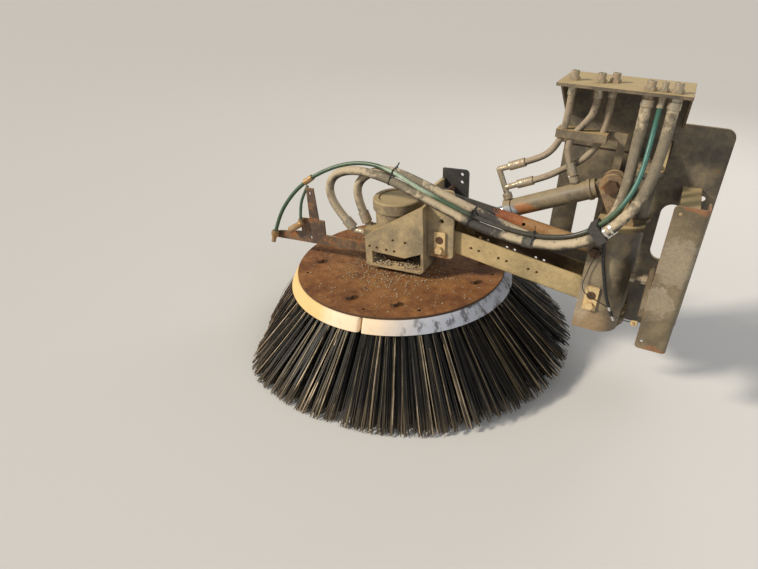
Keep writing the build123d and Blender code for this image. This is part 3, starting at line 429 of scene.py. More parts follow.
@dataclass(frozen=True)
class RustedPlate(Finish):
    """Bare plate rusted brown all over, with dust, sand, a brown patch round the middle, and darker on faces
    that don't look up.

    Attributes:
        middle: Middle of the plate, where the sand lies.
    """

    middle: Point

    def material(self) -> bpy.types.Material:
        """Builds the finish.

        Returns:
            Its material.
        """
        g = Graph(self.name)
        cloud = g.noise(9.0, 6.0, 0.6)
        patch = g.noise(38.0, 5.0, 0.65)
        fine = g.noise(170.0, 3.0, 0.65)
        grit = g.noise(600.0, 2.0)
        base = g.ramp(
            cloud * 0.45 + patch * 0.35 + fine * 0.2,
            (
                (0.30, (0.050, 0.018, 0.006)),
                (0.42, (0.125, 0.045, 0.012)),
                (0.52, (0.210, 0.083, 0.022)),
                (0.62, (0.310, 0.140, 0.039)),
                (0.74, (0.420, 0.235, 0.090)),
            ),
        )
        ring = Spot(self.middle, (0.30, 0.30, 0.08), (0.25, 0.120, 0.036), 0.6, 1.6)
        base = g.mix(g.near(ring, patch) * g.ease(patch, 0.36, 0.62), base, ring.colour)
        sand = g.ease(grit * 0.55 + patch * 0.45, 0.55, 0.66)
        base = g.mix(sand * 0.4, base, (0.36, 0.235, 0.115))
        specks = g.ease(g.cells(230.0), 0.15, 0.07)
        base = g.mix(specks * g.ease(cloud, 0.42, 0.55), base, (0.50, 0.38, 0.22))
        # Faces that don't look up are made darker.
        side = g.ease(g.upward(), 0.7, 0.3)
        base = g.mix(side * 0.8, base, (0.050, 0.028, 0.016))
        g.set(Base_Color=base, Roughness=0.62 + 0.3 * g.ease(fine, 0.3, 0.7))
        g.bump(fine * 0.5 + patch * 0.3 + grit * 0.2 + specks * 0.5, 0.8, 0.0012, g.rounded(0.0015))
        return g.material


@dataclass(frozen=True)
class BlockPlastic(Finish):
    """Pale moulded plastic of the brush ring, scuffed, dusted and streaked, with painted sunlight towards
    the front and painted shade towards the rear.

    Attributes:
        left: Colour towards the front of the truck, warmed by painted sunlight.
        middle: Colour at the near side.
        right: Colour towards the rear, bluish grey with painted shade.
    """

    left: Rgb = (0.70, 0.48, 0.20)
    middle: Rgb = (0.82, 0.64, 0.44)
    right: Rgb = (0.46, 0.48, 0.54)

    def material(self) -> bpy.types.Material:
        """Builds the finish.

        Returns:
            Its material.
        """
        g = Graph(self.name)
        patch = g.noise(30.0, 5.0, 0.6)
        fine = g.noise(160.0, 4.0, 0.6)
        along = g.part(g.place(), "X") + (patch - 0.5) * 0.08
        # Colour along the ring: painted warm sunlight at the front, painted bluish shade at the rear.
        stops = (
            (0.0, self.left),
            (0.34, self.left),
            (0.42, self.middle),
            (0.60, self.middle),
            (0.78, self.right),
        )
        colour = g.ramp(g.node("ShaderNodeMapRange", None, {0: along, 1: -1.04, 2: -0.28}), stops)
        stains = g.ease(patch * 0.6 + fine * 0.4, 0.52, 0.70)
        colour = g.mix(stains * 0.45, colour, (0.42, 0.30, 0.18))
        streaks = g.noise(13.0, 6.0, 0.72, g.stretched((2.2, 2.2, 0.9)))
        right = g.ease(g.part(g.place(), "X"), -0.56, -0.42)
        colour = g.mix(g.ease(streaks, 0.50, 0.60) * right * 0.85, colour, (0.09, 0.085, 0.09))
        colour = g.mix(g.edges(0.003) * g.ease(fine, 0.4, 0.6) * 0.6, colour, (0.30, 0.19, 0.10))
        nicks = g.ease(g.cells(70.0), 0.10, 0.05) * g.ease(patch, 0.46, 0.56)
        colour = g.mix(nicks * 0.8, colour, (0.07, 0.055, 0.05))
        g.set(Base_Color=colour, Roughness=0.5 + 0.25 * patch)
        g.bump(fine * 0.4 + patch * 0.5 + (1.0 - nicks) * 0.3, 0.45, 0.0010, g.rounded(0.002))
        g.set(Specular_IOR_Level=0.4)
        return g.material


@dataclass(frozen=True)
class BristleSteel(Finish):
    """Dark spring steel wires, some dusty, and pale tones that paint the glint of light on them, with dust.
    """

    def material(self) -> bpy.types.Material:
        """Builds the finish.

        Returns:
            Its material.
        """
        g = Graph(self.name)
        tone = g.node("ShaderNodeAttribute", {"attribute_name": "tone"}, None, "Fac")
        soil = g.noise(22.0, 4.0, 0.6)
        # The palest stops are a painted highlight on the wires, with dust.
        stops = (
            (0.00, (0.006, 0.005, 0.004)),
            (0.40, (0.016, 0.013, 0.009)),
            (0.60, (0.060, 0.046, 0.026)),
            (0.80, (0.190, 0.145, 0.080)),
            (1.00, (0.560, 0.430, 0.295)),
        )
        colour = g.ramp(tone * 0.88 + (soil - 0.5) * 0.45 + 0.04, stops)
        front = g.ease(g.part(g.place(), "X") + (soil - 0.5) * 0.3, -0.86, -1.10)
        colour = g.mix(front * g.ease(tone, 0.2, 0.6) * 0.45, colour, (0.22, 0.085, 0.040))
        height = g.part(g.place(), "Z")
        dust = g.ease(height + (soil - 0.5) * 0.10, -0.400, -0.470)
        colour = g.mix(dust * 0.3, colour, (0.20, 0.145, 0.085))
        g.set(Base_Color=colour, Roughness=0.44 + 0.35 * dust + 0.15 * soil)
        g.set(Metallic=0.30 - 0.28 * dust)
        return g.material


@dataclass(frozen=True)
class HoseRubber(Finish):
    """Hose cover with dust on its upper side and dark worn bands.

    Attributes:
        cover: Colour of the clean cover.
        dust: Colour of the dust.
        bands: Spots where the cover is worn dark or wrapped.
        dusty: Share of dust.
        sheen: Roughness of the clean cover.
    """

    cover: Rgb
    dust: Rgb = (0.44, 0.355, 0.235)
    bands: tuple[Spot, ...] = ()
    dusty: float = 0.85
    sheen: float = 0.5

    def material(self) -> bpy.types.Material:
        """Builds the finish.

        Returns:
            Its material.
        """
        g = Graph(self.name)
        cloud = g.noise(14.0, 4.0)
        patch = g.noise(55.0, 4.0, 0.62)
        fine = g.noise(300.0, 3.0)
        settled = g.ease(g.upward() + (patch - 0.5) * 1.0 + (cloud - 0.5) * 1.1, -0.75, 0.25) * self.dusty
        dust = g.ramp(fine * 0.5 + patch * 0.5, ((0.35, self.dust), (0.65, scaled(self.dust, 1.3))))
        clean = g.ramp(patch, ((0.3, scaled(self.cover, 0.6)), (0.7, self.cover)))
        colour = g.mix(settled, clean, dust)
        scuffs = g.ease(g.noise(75.0, 5.0, 0.7), 0.60, 0.66)
        colour = g.mix(scuffs * 0.75, colour, (0.035, 0.032, 0.030))
        for band in self.bands:
            stops = ((0.35, scaled(band.colour, 0.5)), (0.66, band.colour))
            worn = g.ramp(fine * 0.4 + patch * 0.6, stops)
            colour = g.mix(g.near(band, patch), colour, worn)
        g.set(Base_Color=colour, Roughness=self.sheen + 0.35 * settled)
        g.bump(fine * 0.4 + patch * 0.4 + (1.0 - scuffs) * 0.2, 0.4, 0.0006)
        return g.material


@dataclass(frozen=True)
class PlatedMetal(Finish):
    """Plated or bare metal with grime in its corners.

    Attributes:
        metal: Colour of the metal.
        grime: Colour of the dirt on it.
        dirty: Share of dirt.
        rough: Roughness of the clean metal.
        metallic: How metallic the clean surface is.
    """

    metal: Rgb
    grime: Rgb = (0.16, 0.115, 0.07)
    dirty: float = 0.55
    rough: float = 0.34
    metallic: float = 0.85

    def material(self) -> bpy.types.Material:
        """Builds the finish.

        Returns:
            Its material.
        """
        g = Graph(self.name)
        patch = g.noise(60.0, 5.0, 0.65)
        fine = g.noise(260.0, 3.0)
        edge = g.edges(0.0022)
        soil = g.ease(patch * 0.6 + fine * 0.4, 0.62 - self.dirty * 0.3, 0.74 - self.dirty * 0.3)
        settled = g.ease(g.upward() + (patch - 0.5), 0.1, 0.9) * self.dirty
        share = (soil * 0.85).most(settled) * (1.0 - edge * 0.5)
        bare = g.ramp(fine, ((0.3, scaled(self.metal, 0.72)), (0.7, self.metal)))
        dirt = g.ramp(patch, ((0.4, self.grime), (0.62, scaled(self.grime, 2.2))))
        g.set(Base_Color=g.mix(share, bare, dirt), Roughness=self.rough + 0.5 * share)
        g.set(Metallic=self.metallic * (1.0 - share))
        g.bump(fine * 0.4 + share * 0.4 + patch * 0.2, 0.4, 0.0005, g.rounded(0.0010))
        return g.material


@dataclass(frozen=True)
class Plain(Finish):
    """A small part's finish with slight mottling.

    Attributes:
        colour: Its colour.
        rough: Its roughness.
        scale: Size of the mottling, cells in a metre.
    """

    colour: Rgb
    rough: float = 0.5
    scale: float = 150.0

    def material(self) -> bpy.types.Material:
        """Builds the finish.

        Returns:
            Its material.
        """
        g = Graph(self.name)
        mottle = g.noise(self.scale, 4.0, 0.65)
        dark, light = scaled(self.colour, 0.55), scaled(self.colour, 1.5, 0.01)
        g.set(Base_Color=g.ramp(mottle, ((0.3, dark), (0.5, self.colour), (0.72, light))))
        g.set(Roughness=self.rough + 0.2 * mottle)
        g.bump(mottle, 0.35, 0.0005)
        return g.material


def quads(rings: int, count: int, closed: bool = False, turned: bool = False) -> list[Face]:
    """Faces between rings of vertices.

    Args:
        rings: Number of rings.
        count: Vertices in each ring.
        closed: True where the last ring meets the first.
        turned: True where the faces look the other way.

    Returns:
        The faces.
    """
    faces: list[Face] = []
    for ring in range(rings if closed else rings - 1):
        here, there = ring * count, (ring + 1) % rings * count
        for k in range(count):
            after = (k + 1) % count
            face = (here + k, here + after, there + after, there + k)
            faces.append((face[0], face[3], face[2], face[1]) if turned else face)
    return faces


def caps(last: int, count: int) -> list[Face]:
    """The two faces that close a stack of rings whose last ring begins at this vertex."""
    return [tuple(reversed(range(count))), tuple(range(last, last + count))]


def box_section(wide: float, high: float) -> Outline:
    """Corners of a rectangle, from its half sizes."""
    return [(-wide, -high), (wide, -high), (wide, high), (-wide, high)]


class Mesher:
    """Collects the vertices and faces of one piece, with a tone for each vertex."""

    def __init__(self) -> None:
        """Starts empty."""
        self.verts: list[Vector] = []
        self.faces: list[Face] = []
        self.tones: list[float] = []

    def add(self, verts: Iterable[Vector], faces: Iterable[Face], tone: float = 0.5) -> None:
        """Adds a shape.

        Args:
            verts: Its vertices.
            faces: Its faces, counted from its first vertex.
            tone: Its tone, from 0 to 1.
        """
        base = len(self.verts)
        self.verts.extend(verts)
        self.tones.extend([tone] * (len(self.verts) - base))
        self.faces.extend(tuple(base + i for i in face) for face in faces)

    def tube(self, path: Sequence[Vector], section: Outline, tone: float = 0.5) -> None:
        """Carries a closed section along a path.

        Args:
            path: Points of the path.
            section: Corners of the section, in metres off the path.
            tone: Tone of the tube.
        """
        count = len(section)
        verts: list[Vector] = []
        ahead = (path[1] - path[0]).normalized()
        side = ahead.cross(Vector((0, 0, 1)) if abs(ahead.z) < 0.9 else Vector((1, 0, 0))).normalized()
        for index, point in enumerate(path):
            before = path[max(index - 1, 0)]
            after = path[min(index + 1, len(path) - 1)]
            ahead = (after - before).normalized()
            side = (side - ahead * side.dot(ahead)).normalized()
            up = ahead.cross(side)
            verts.extend(point + side * a + up * b for a, b in section)
        faces = quads(len(path), count) + caps((len(path) - 1) * count, count)
        self.add(verts, faces, tone)

    def lathe(self, place: Matrix, profile: Outline, sides: int) -> None:
        """Turns a closed profile of radius and height about the place's Z.

        Args:
            place: Where the piece stands.
            profile: Radius and height of each corner, all off the axis.
            sides: Number of sides.
        """
        verts: list[Vector] = []
        for step in range(sides):
            turn = 2 * math.pi * step / sides
            verts.extend(place @ Vector((r * math.cos(turn), r * math.sin(turn), z)) for r, z in profile)
        self.add(verts, quads(sides, len(profile), closed=True, turned=True))

    def prism(self, place: Matrix, outline: Outline, depth: float) -> None:
        """Raises an outline in the place's XY plane along its Z.

        Args:
            place: Where the outline lies.
            outline: Its corners.
            depth: How far it is raised.
        """
        count = len(outline)
        verts = [place @ Vector((x, y, z)) for z in (0.0, depth) for x, y in outline]
        self.add(verts, caps(count, count) + quads(2, count))

    def pebble(self, at: Vector, size: float, dice: random.Random, tone: float) -> None:
        """A small uneven stone.

        Args:
            at: Its middle.
            size: Its half width.
            dice: Source of chance.
            tone: Its tone.
        """
        sides = 6
        verts: list[Vector] = []
        for ring, height in ((0.62, -0.55), (1.0, 0.0), (0.55, 0.6)):
            for k in range(sides):
                turn = math.pi / 3 * k + dice.uniform(-0.25, 0.25)
                r = size * ring * dice.uniform(0.75, 1.15)
                verts.append(at + Vector((r * math.cos(turn), r * math.sin(turn), size * height * 0.8)))
        self.add(verts, caps(2 * sides, sides) + quads(3, sides), tone)

    def piece(
        self,
        name: str,
        finish: bpy.types.Material,
        rides: Body | None,
        smooth: float | None,
        bevel: float = 0.0,
    ) -> bpy.types.Object:
        """Makes the object.

        Args:
            name: Name of the piece.
            finish: Its material.
            rides: Body that it moves with, or None if it is bent between two.
            smooth: Largest angle that is shaded smooth, in degrees, or None for flat faces.
            bevel: Width of rounded edges, in metres.

        Returns:
            The object.
        """
        mesh = bpy.data.meshes.new(name)
        mesh.from_pydata([tuple(vert) for vert in self.verts], [], self.faces)
        mesh.update()
        if bevel == 0.0:
            tones = mesh.attributes.new("tone", "FLOAT", "POINT")
            tones.data.foreach_set("value", self.tones)
        made = bpy.data.objects.new(name, mesh)
        bpy.context.scene.collection.objects.link(made)
        mesh.materials.append(finish)
        if bevel > 0.0:
            soften = made.modifiers.new("rounded_edges", "BEVEL")
            soften.width = bevel
            soften.segments = 3
            soften.limit_method = "ANGLE"
            soften.angle_limit = math.radians(35)
        if smooth is not None:
            mesh.shade_smooth()
            mesh.set_sharp_from_angle(angle=math.radians(smooth))
        if rides is not None:
            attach(made, rides.value)
        log.info("%s: %d faces", name, len(self.faces))
        return made


def circle(radius: float, sides: int) -> Outline:
    """Corners of a regular polygon."""
    turns = (2 * math.pi * k / sides for k in range(sides))
    return [(radius * math.cos(turn), radius * math.sin(turn)) for turn in turns]


def facing(at: Vector, ahead: Vector) -> Matrix:
    """A place whose Z looks along a direction."""
    return Matrix.Translation(at) @ ahead.to_track_quat("Z", "Y").to_matrix().to_4x4()


def curve_points(route: Sequence[Vector], steps: int) -> list[Vector]:
    """Points along the smooth curve that a route steers, read from Blender's own NURBS spline.

    Args:
        route: Control points.
        steps: Points for each control point.

    Returns:
        The points in order.
    """
    data = bpy.data.curves.new("route", "CURVE")
    data.dimensions = "3D"
    spline = data.splines.new("NURBS")
    spline.points.add(len(route) - 1)
    for point, place in zip(spline.points, route):
        point.co = (*place, 1.0)
    spline.order_u = 3
    spline.use_endpoint_u = True
    spline.resolution_u = steps
    holder = bpy.data.objects.new("route", data)
    line = bpy.data.meshes.new_from_object(holder)
    points = [vertex.co.copy() for vertex in line.vertices]
    bpy.data.objects.remove(holder)
    bpy.data.curves.remove(data)
    bpy.data.meshes.remove(line)
    return points


@dataclass
class Finishes:
    """Every finish of the broom, made once."""

    made: dict[str, bpy.types.Material] = field(default_factory=dict)

    def get(self, finish: Finish) -> bpy.types.Material:
        """The material of a finish, made when first asked for.

        Args:
            finish: The finish.

        Returns:
            Its material.
        """
        if finish.name not in self.made:
            self.made[finish.name] = finish.material()
        return self.made[finish.name]

    def dress(self, frame: dict[str, Any]) -> None:
        """Gives every CAD node that shows its finish.

        Args:
            frame: The loaded frame.
        """
        for finish, nodes in NODE_FINISHES:
            for node in nodes:
                mesh = frame["nodes"][node].data
                mesh.materials.clear()
                mesh.materials.append(self.get(finish))


RUST_ORANGE: Rgb = (0.40, 0.17, 0.06)
EDGE_RUST: Rgb = (0.30, 0.135, 0.055)
PALE_DUST: Rgb = (0.60, 0.50, 0.37)

HEAD_PAINT_AND_SHADE = DustyPaint(
    "dusty_head_paint_and_shade",
    (0.27, 0.215, 0.135),
    film=0.6,
    dusty=0.7,
    rusty=0.12,
    spots=(
        # Painted shade inside the motor bracket's window.
        Spot((-0.645, -0.200, -0.150), (0.115, 0.088, 0.060), (0.030, 0.022, 0.016), 0.95, 0.3),
        # Painted shade on the bracket's side wall, in the gap beside the carrier.
        Spot((-0.541, -0.190, -0.080), (0.013, 0.096, 0.160), (0.045, 0.036, 0.024), 0.9, 0.3),
    ),
)
CAN_PAINT = DustyPaint("motor_can_paint", (0.175, 0.138, 0.092), film=0.5, dusty=0.55, rusty=0.2, worn=0.9)
ARM_PAINT_AND_SHADE = DustyPaint(
    "dusty_arm_paint_and_shade",
    (0.40, 0.300, 0.150),
    film=0.55,
    worn=0.5,
    rusty=0.05,
    # Painted shade inside the channel, behind its front face, where the top flange lies in shadow.
    spots=(Spot((-0.24, -0.175, -0.03), (0.30, 0.055, 0.14), (0.10, 0.062, 0.038), 0.9, 0.5),),
)
KEEPER_PAINT = DustyPaint(
    "keeper_paint",
    (0.62, 0.455, 0.230),
    film=0.4,
    rusty=0.25,
    spots=(
        Spot((-0.4995, -0.27, -0.0650), (0.012, 0.03, 0.012), (0.13, 0.055, 0.025), 0.9),
        Spot((-0.0293, -0.27, -0.1300), (0.011, 0.03, 0.011), (0.10, 0.050, 0.028), 0.9),
    ),
)
# Dark grey paint with painted shade, for parts that stand back in shadow.
SHADED_GREY_PAINT = DustyPaint("shaded_grey_paint", (0.098, 0.083, 0.064), film=0.26, dusty=0.7, rusty=0.25)
POST_PAINT_AND_SHADE = DustyPaint(
    "post_paint_and_shade",
    (0.130, 0.105, 0.075),
    film=0.3,
    rusty=0.15,
    spots=(
        Spot((-0.03, -0.262, -0.225), (0.09, 0.10, 0.050), (0.36, 0.245, 0.130), 0.75, 2.0),
        Spot((-0.05, -0.262, -0.16), (0.03, 0.05, 0.08), PALE_DUST, 0.4),
        Spot((-0.03, -0.262, -0.05), (0.06, 0.05, 0.06), (0.33, 0.26, 0.16), 0.75),
        # Painted shade down the post's right side.
        Spot((0.052, -0.170, -0.040), (0.036, 0.12, 0.19), (0.060, 0.052, 0.040), 0.75, 0.8),
    ),
)
GUARD_PAINT_AND_SHADE = DustyPaint(
    "guard_paint_and_shade",
    # Dark taupe: the guard's paint, darkened with painted shade.
    (0.120, 0.094, 0.056),
    (0.255, 0.195, 0.110),
    film=0.4,
    dusty=0.6,
    worn=0.95,
    rusty=0.12,
    spots=(
        Spot((0.15, -0.33, 0.05), (0.05, 0.05, 0.09), PALE_DUST, 0.3, 2.5),
        Spot((0.14, -0.33, -0.07), (0.045, 0.05, 0.05), PALE_DUST, 0.3, 2.5),
        Spot((0.16, -0.33, -0.219), (0.06, 0.06, 0.014), EDGE_RUST, 0.7, 3.0),
        Spot((0.102, -0.33, 0.07), (0.009, 0.05, 0.075), EDGE_RUST, 0.8, 1.6),
        Spot((0.175, -0.33, 0.193), (0.05, 0.06, 0.012), EDGE_RUST, 0.75, 3.0),
    ),
)
LINK_PAINT_AND_SHADE = DustyPaint(
    "link_paint",
    # Near-black bluish base: painted shade where the link lies in shadow; the spots over it are rust and
    # dust.
    (0.012, 0.016, 0.026),
    film=0.05,
    dusty=0.08,
    rusty=0.05,
    worn=0.3,
    gloss=0.3,
    spots=(
        Spot((-0.17, -0.24, 0.02), (0.17, 0.08, 0.09), (0.40, 0.215, 0.090), 0.95, 1.2),
        Spot((-0.305, -0.24, 0.04), (0.045, 0.05, 0.05), (0.36, 0.110, 0.040), 0.75, 3.5),
        Spot((-0.13, -0.24, 0.0), (0.10, 0.05, 0.05), (0.50, 0.34, 0.17), 0.5, 2.0),
    ),
)
CYLINDER_PAINT = DustyPaint(
    "cylinder_paint",
    (0.115, 0.092, 0.062),
    (0.36, 0.275, 0.150),
    film=0.35,
    dusty=0.5,
    rusty=0.2,
    spots=(
        Spot((-0.265, -0.196, 0.062), (0.045, 0.02, 0.022), RUST_ORANGE, 0.95),
        Spot((-0.315, -0.196, 0.045), (0.030, 0.02, 0.018), (0.42, 0.46, 0.50), 0.8),
    ),
)
CARRIER_PAINT_AND_SHADE = DustyPaint(
    "carrier_paint_and_shade",
    (0.28, 0.225, 0.140),
    film=0.6,
    spots=(
        Spot((-0.495, -0.268, -0.125), (0.035, 0.02, 0.035), (0.42, 0.22, 0.09), 0.8),
        # Painted shade on the carrier's back cheek, in the gap behind the bracket.
        Spot((-0.51, -0.14, 0.06), (0.09, 0.02, 0.16), (0.024, 0.026, 0.029), 0.95, 0.4),
    ),
)
PLATE_RUST = RustedPlate("rusted_brush_plate", (-0.66, -0.20, -0.215))
RING_PLASTIC_LIT_AND_SHADED = BlockPlastic("ring_plastic_lit_and_shaded")
BRISTLES = BristleSteel("bristle_steel")
PIN_STEEL = PlatedMetal("worn_pin_steel", (0.26, 0.20, 0.15), dirty=0.75, rough=0.42)
PIN_RUST = PlatedMetal("rusty_pin_heads", (0.12, 0.058, 0.030), (0.055, 0.032, 0.018), 0.7, 0.6, 0.25)
BROWN_BOSS = DustyPaint("brown_boss", (0.20, 0.13, 0.08), film=0.5, rusty=0.5)
ZINC = PlatedMetal("zinc_fittings", (0.56, 0.50, 0.38), dirty=0.6)
CHROME = PlatedMetal("chromed_rod", (0.62, 0.64, 0.66), dirty=0.25, rough=0.12, metallic=1.0)
BRASS = PlatedMetal("nozzle_brass", (0.50, 0.30, 0.12), dirty=0.6)
CLAMP_DARK = Plain("clamp_dark", (0.05, 0.045, 0.04), 0.55)
NYLON = Plain("tie_nylon", (0.012, 0.012, 0.012), 0.35)
BRIGHT_CLIP = PlatedMetal("bright_clip", (0.75, 0.72, 0.66), dirty=0.15, rough=0.25)
COLLAR = Plain("rubber_collar", (0.085, 0.078, 0.062), 0.6)
GRIT = Plain("grit", (0.34, 0.26, 0.17), 0.8, 90.0)
SHEATH = Plain("cable_sheath", (0.02, 0.02, 0.021), 0.4)

HOSE = HoseRubber(
    "motor_hose_cover",
    (0.055, 0.050, 0.045),
    bands=(
        Spot((-0.64, -0.29, 0.105), (0.13, 0.05, 0.05), (0.150, 0.130, 0.095), 0.75, 2.2),
        Spot((-0.36, -0.30, 0.025), (0.085, 0.05, 0.06), (0.045, 0.042, 0.040), 0.95, 0.9),
        Spot((-0.222, -0.30, 0.005), (0.020, 0.05, 0.05), (0.095, 0.085, 0.065), 0.9),
        Spot((-0.055, -0.30, 0.060), (0.022, 0.05, 0.05), (0.09, 0.080, 0.060), 0.8),
        Spot((0.03, -0.24, 0.25), (0.10, 0.12, 0.18), (0.145, 0.122, 0.084), 0.8, 1.4),
    ),
)
WATER = HoseRubber(
    "water_hose_cover",
    (0.022, 0.085, 0.045),
    (0.12, 0.145, 0.080),
    bands=(
        Spot((-0.60, -0.29, 0.118), (0.130, 0.06, 0.07), (0.42, 0.52, 0.38), 0.85, 0.8),
        Spot((-0.25, -0.30, 0.050), (0.23, 0.06, 0.09), (0.075, 0.066, 0.052), 0.95, 0.5),
        Spot((0.02, -0.24, 0.25), (0.06, 0.12, 0.17), (0.055, 0.205, 0.175), 0.8, 2.4),
    ),
    dusty=0.35,
    sheen=0.3,
)
# Dark rusty finish: real rust, darkened with painted shade.
SPRAY_RUST_AND_SHADE = DustyPaint("spray_bracket_rust_and_shade", (0.085, 0.050, 0.035), film=0.3, dusty=0.45, rusty=0.6)
OLD_HOSE = HoseRubber("lift_hose_cover", (0.08, 0.07, 0.055), (0.36, 0.28, 0.19), dusty=0.7)

NODE_FINISHES: tuple[tuple[Finish, tuple[str, ...]], ...] = (
    (SHADED_GREY_PAINT, ("mounting_plate", "bearing_ears", "hose_bulkhead", "guard_struts", "swing_tube")),
    (POST_PAINT_AND_SHADE, ("swing_post", "hose_guide")),
    (BROWN_BOSS, ("cylinder_ears",)),
    (GUARD_PAINT_AND_SHADE, ("guard_channel",)),
    (PIN_STEEL, ("king_pin", "rod_pin")),
    (PIN_RUST, ("post_pins", "head_pins")),
    (ARM_PAINT_AND_SHADE, ("arm_channel", "rod_lug")),
    (LINK_PAINT_AND_SHADE, ("upper_link",)),
    (CYLINDER_PAINT, ("cylinder_barrel",)),
    (CHROME, ("cylinder_rod",)),
    (CARRIER_PAINT_AND_SHADE, ("head_carrier",)),
    (HEAD_PAINT_AND_SHADE, ("motor_bracket",)),
    (CAN_PAINT, ("motor_can",)),
    (KEEPER_PAINT, ("head_keeper", "post_keeper")),
    (ZINC, ("bulkhead_fittings", "cylinder_fittings", "motor_fittings", "stop_bolt")),
    (SPRAY_RUST_AND_SHADE, ("spray_bracket",)),
    (BRASS, ("spray_nozzles", "water_tee")),
    (CLAMP_DARK, ("hose_clamp",)),
    (PLATE_RUST, ("brush_plate", "brush_hub")),
)


@dataclass(frozen=True)
class Section:
    """One length of a hose.

    Attributes:
        name: Name of the piece.
        route: Control points in millimetres.
        radius: Radius in metres.
        finish: Its finish.
        slot: Material slot in the record; not used.
        near: Body at its first end; not used.
        far: Body at its other end; not used.
        replaces: CAD node that it stands for.
        bend: Two points in millimetres between which it passes from one body to the other; not used.
    """

    name: str
    route: tuple[Point, ...]
    radius: float
    finish: HoseRubber
    slot: Slot
    near: Body
    far: Body
    replaces: str
    bend: tuple[Point, Point]


def middle(first: Point, second: Point) -> Point:
    """Point half way between two points."""
    return tuple((a + b) / 2 for a, b in zip(first, second))


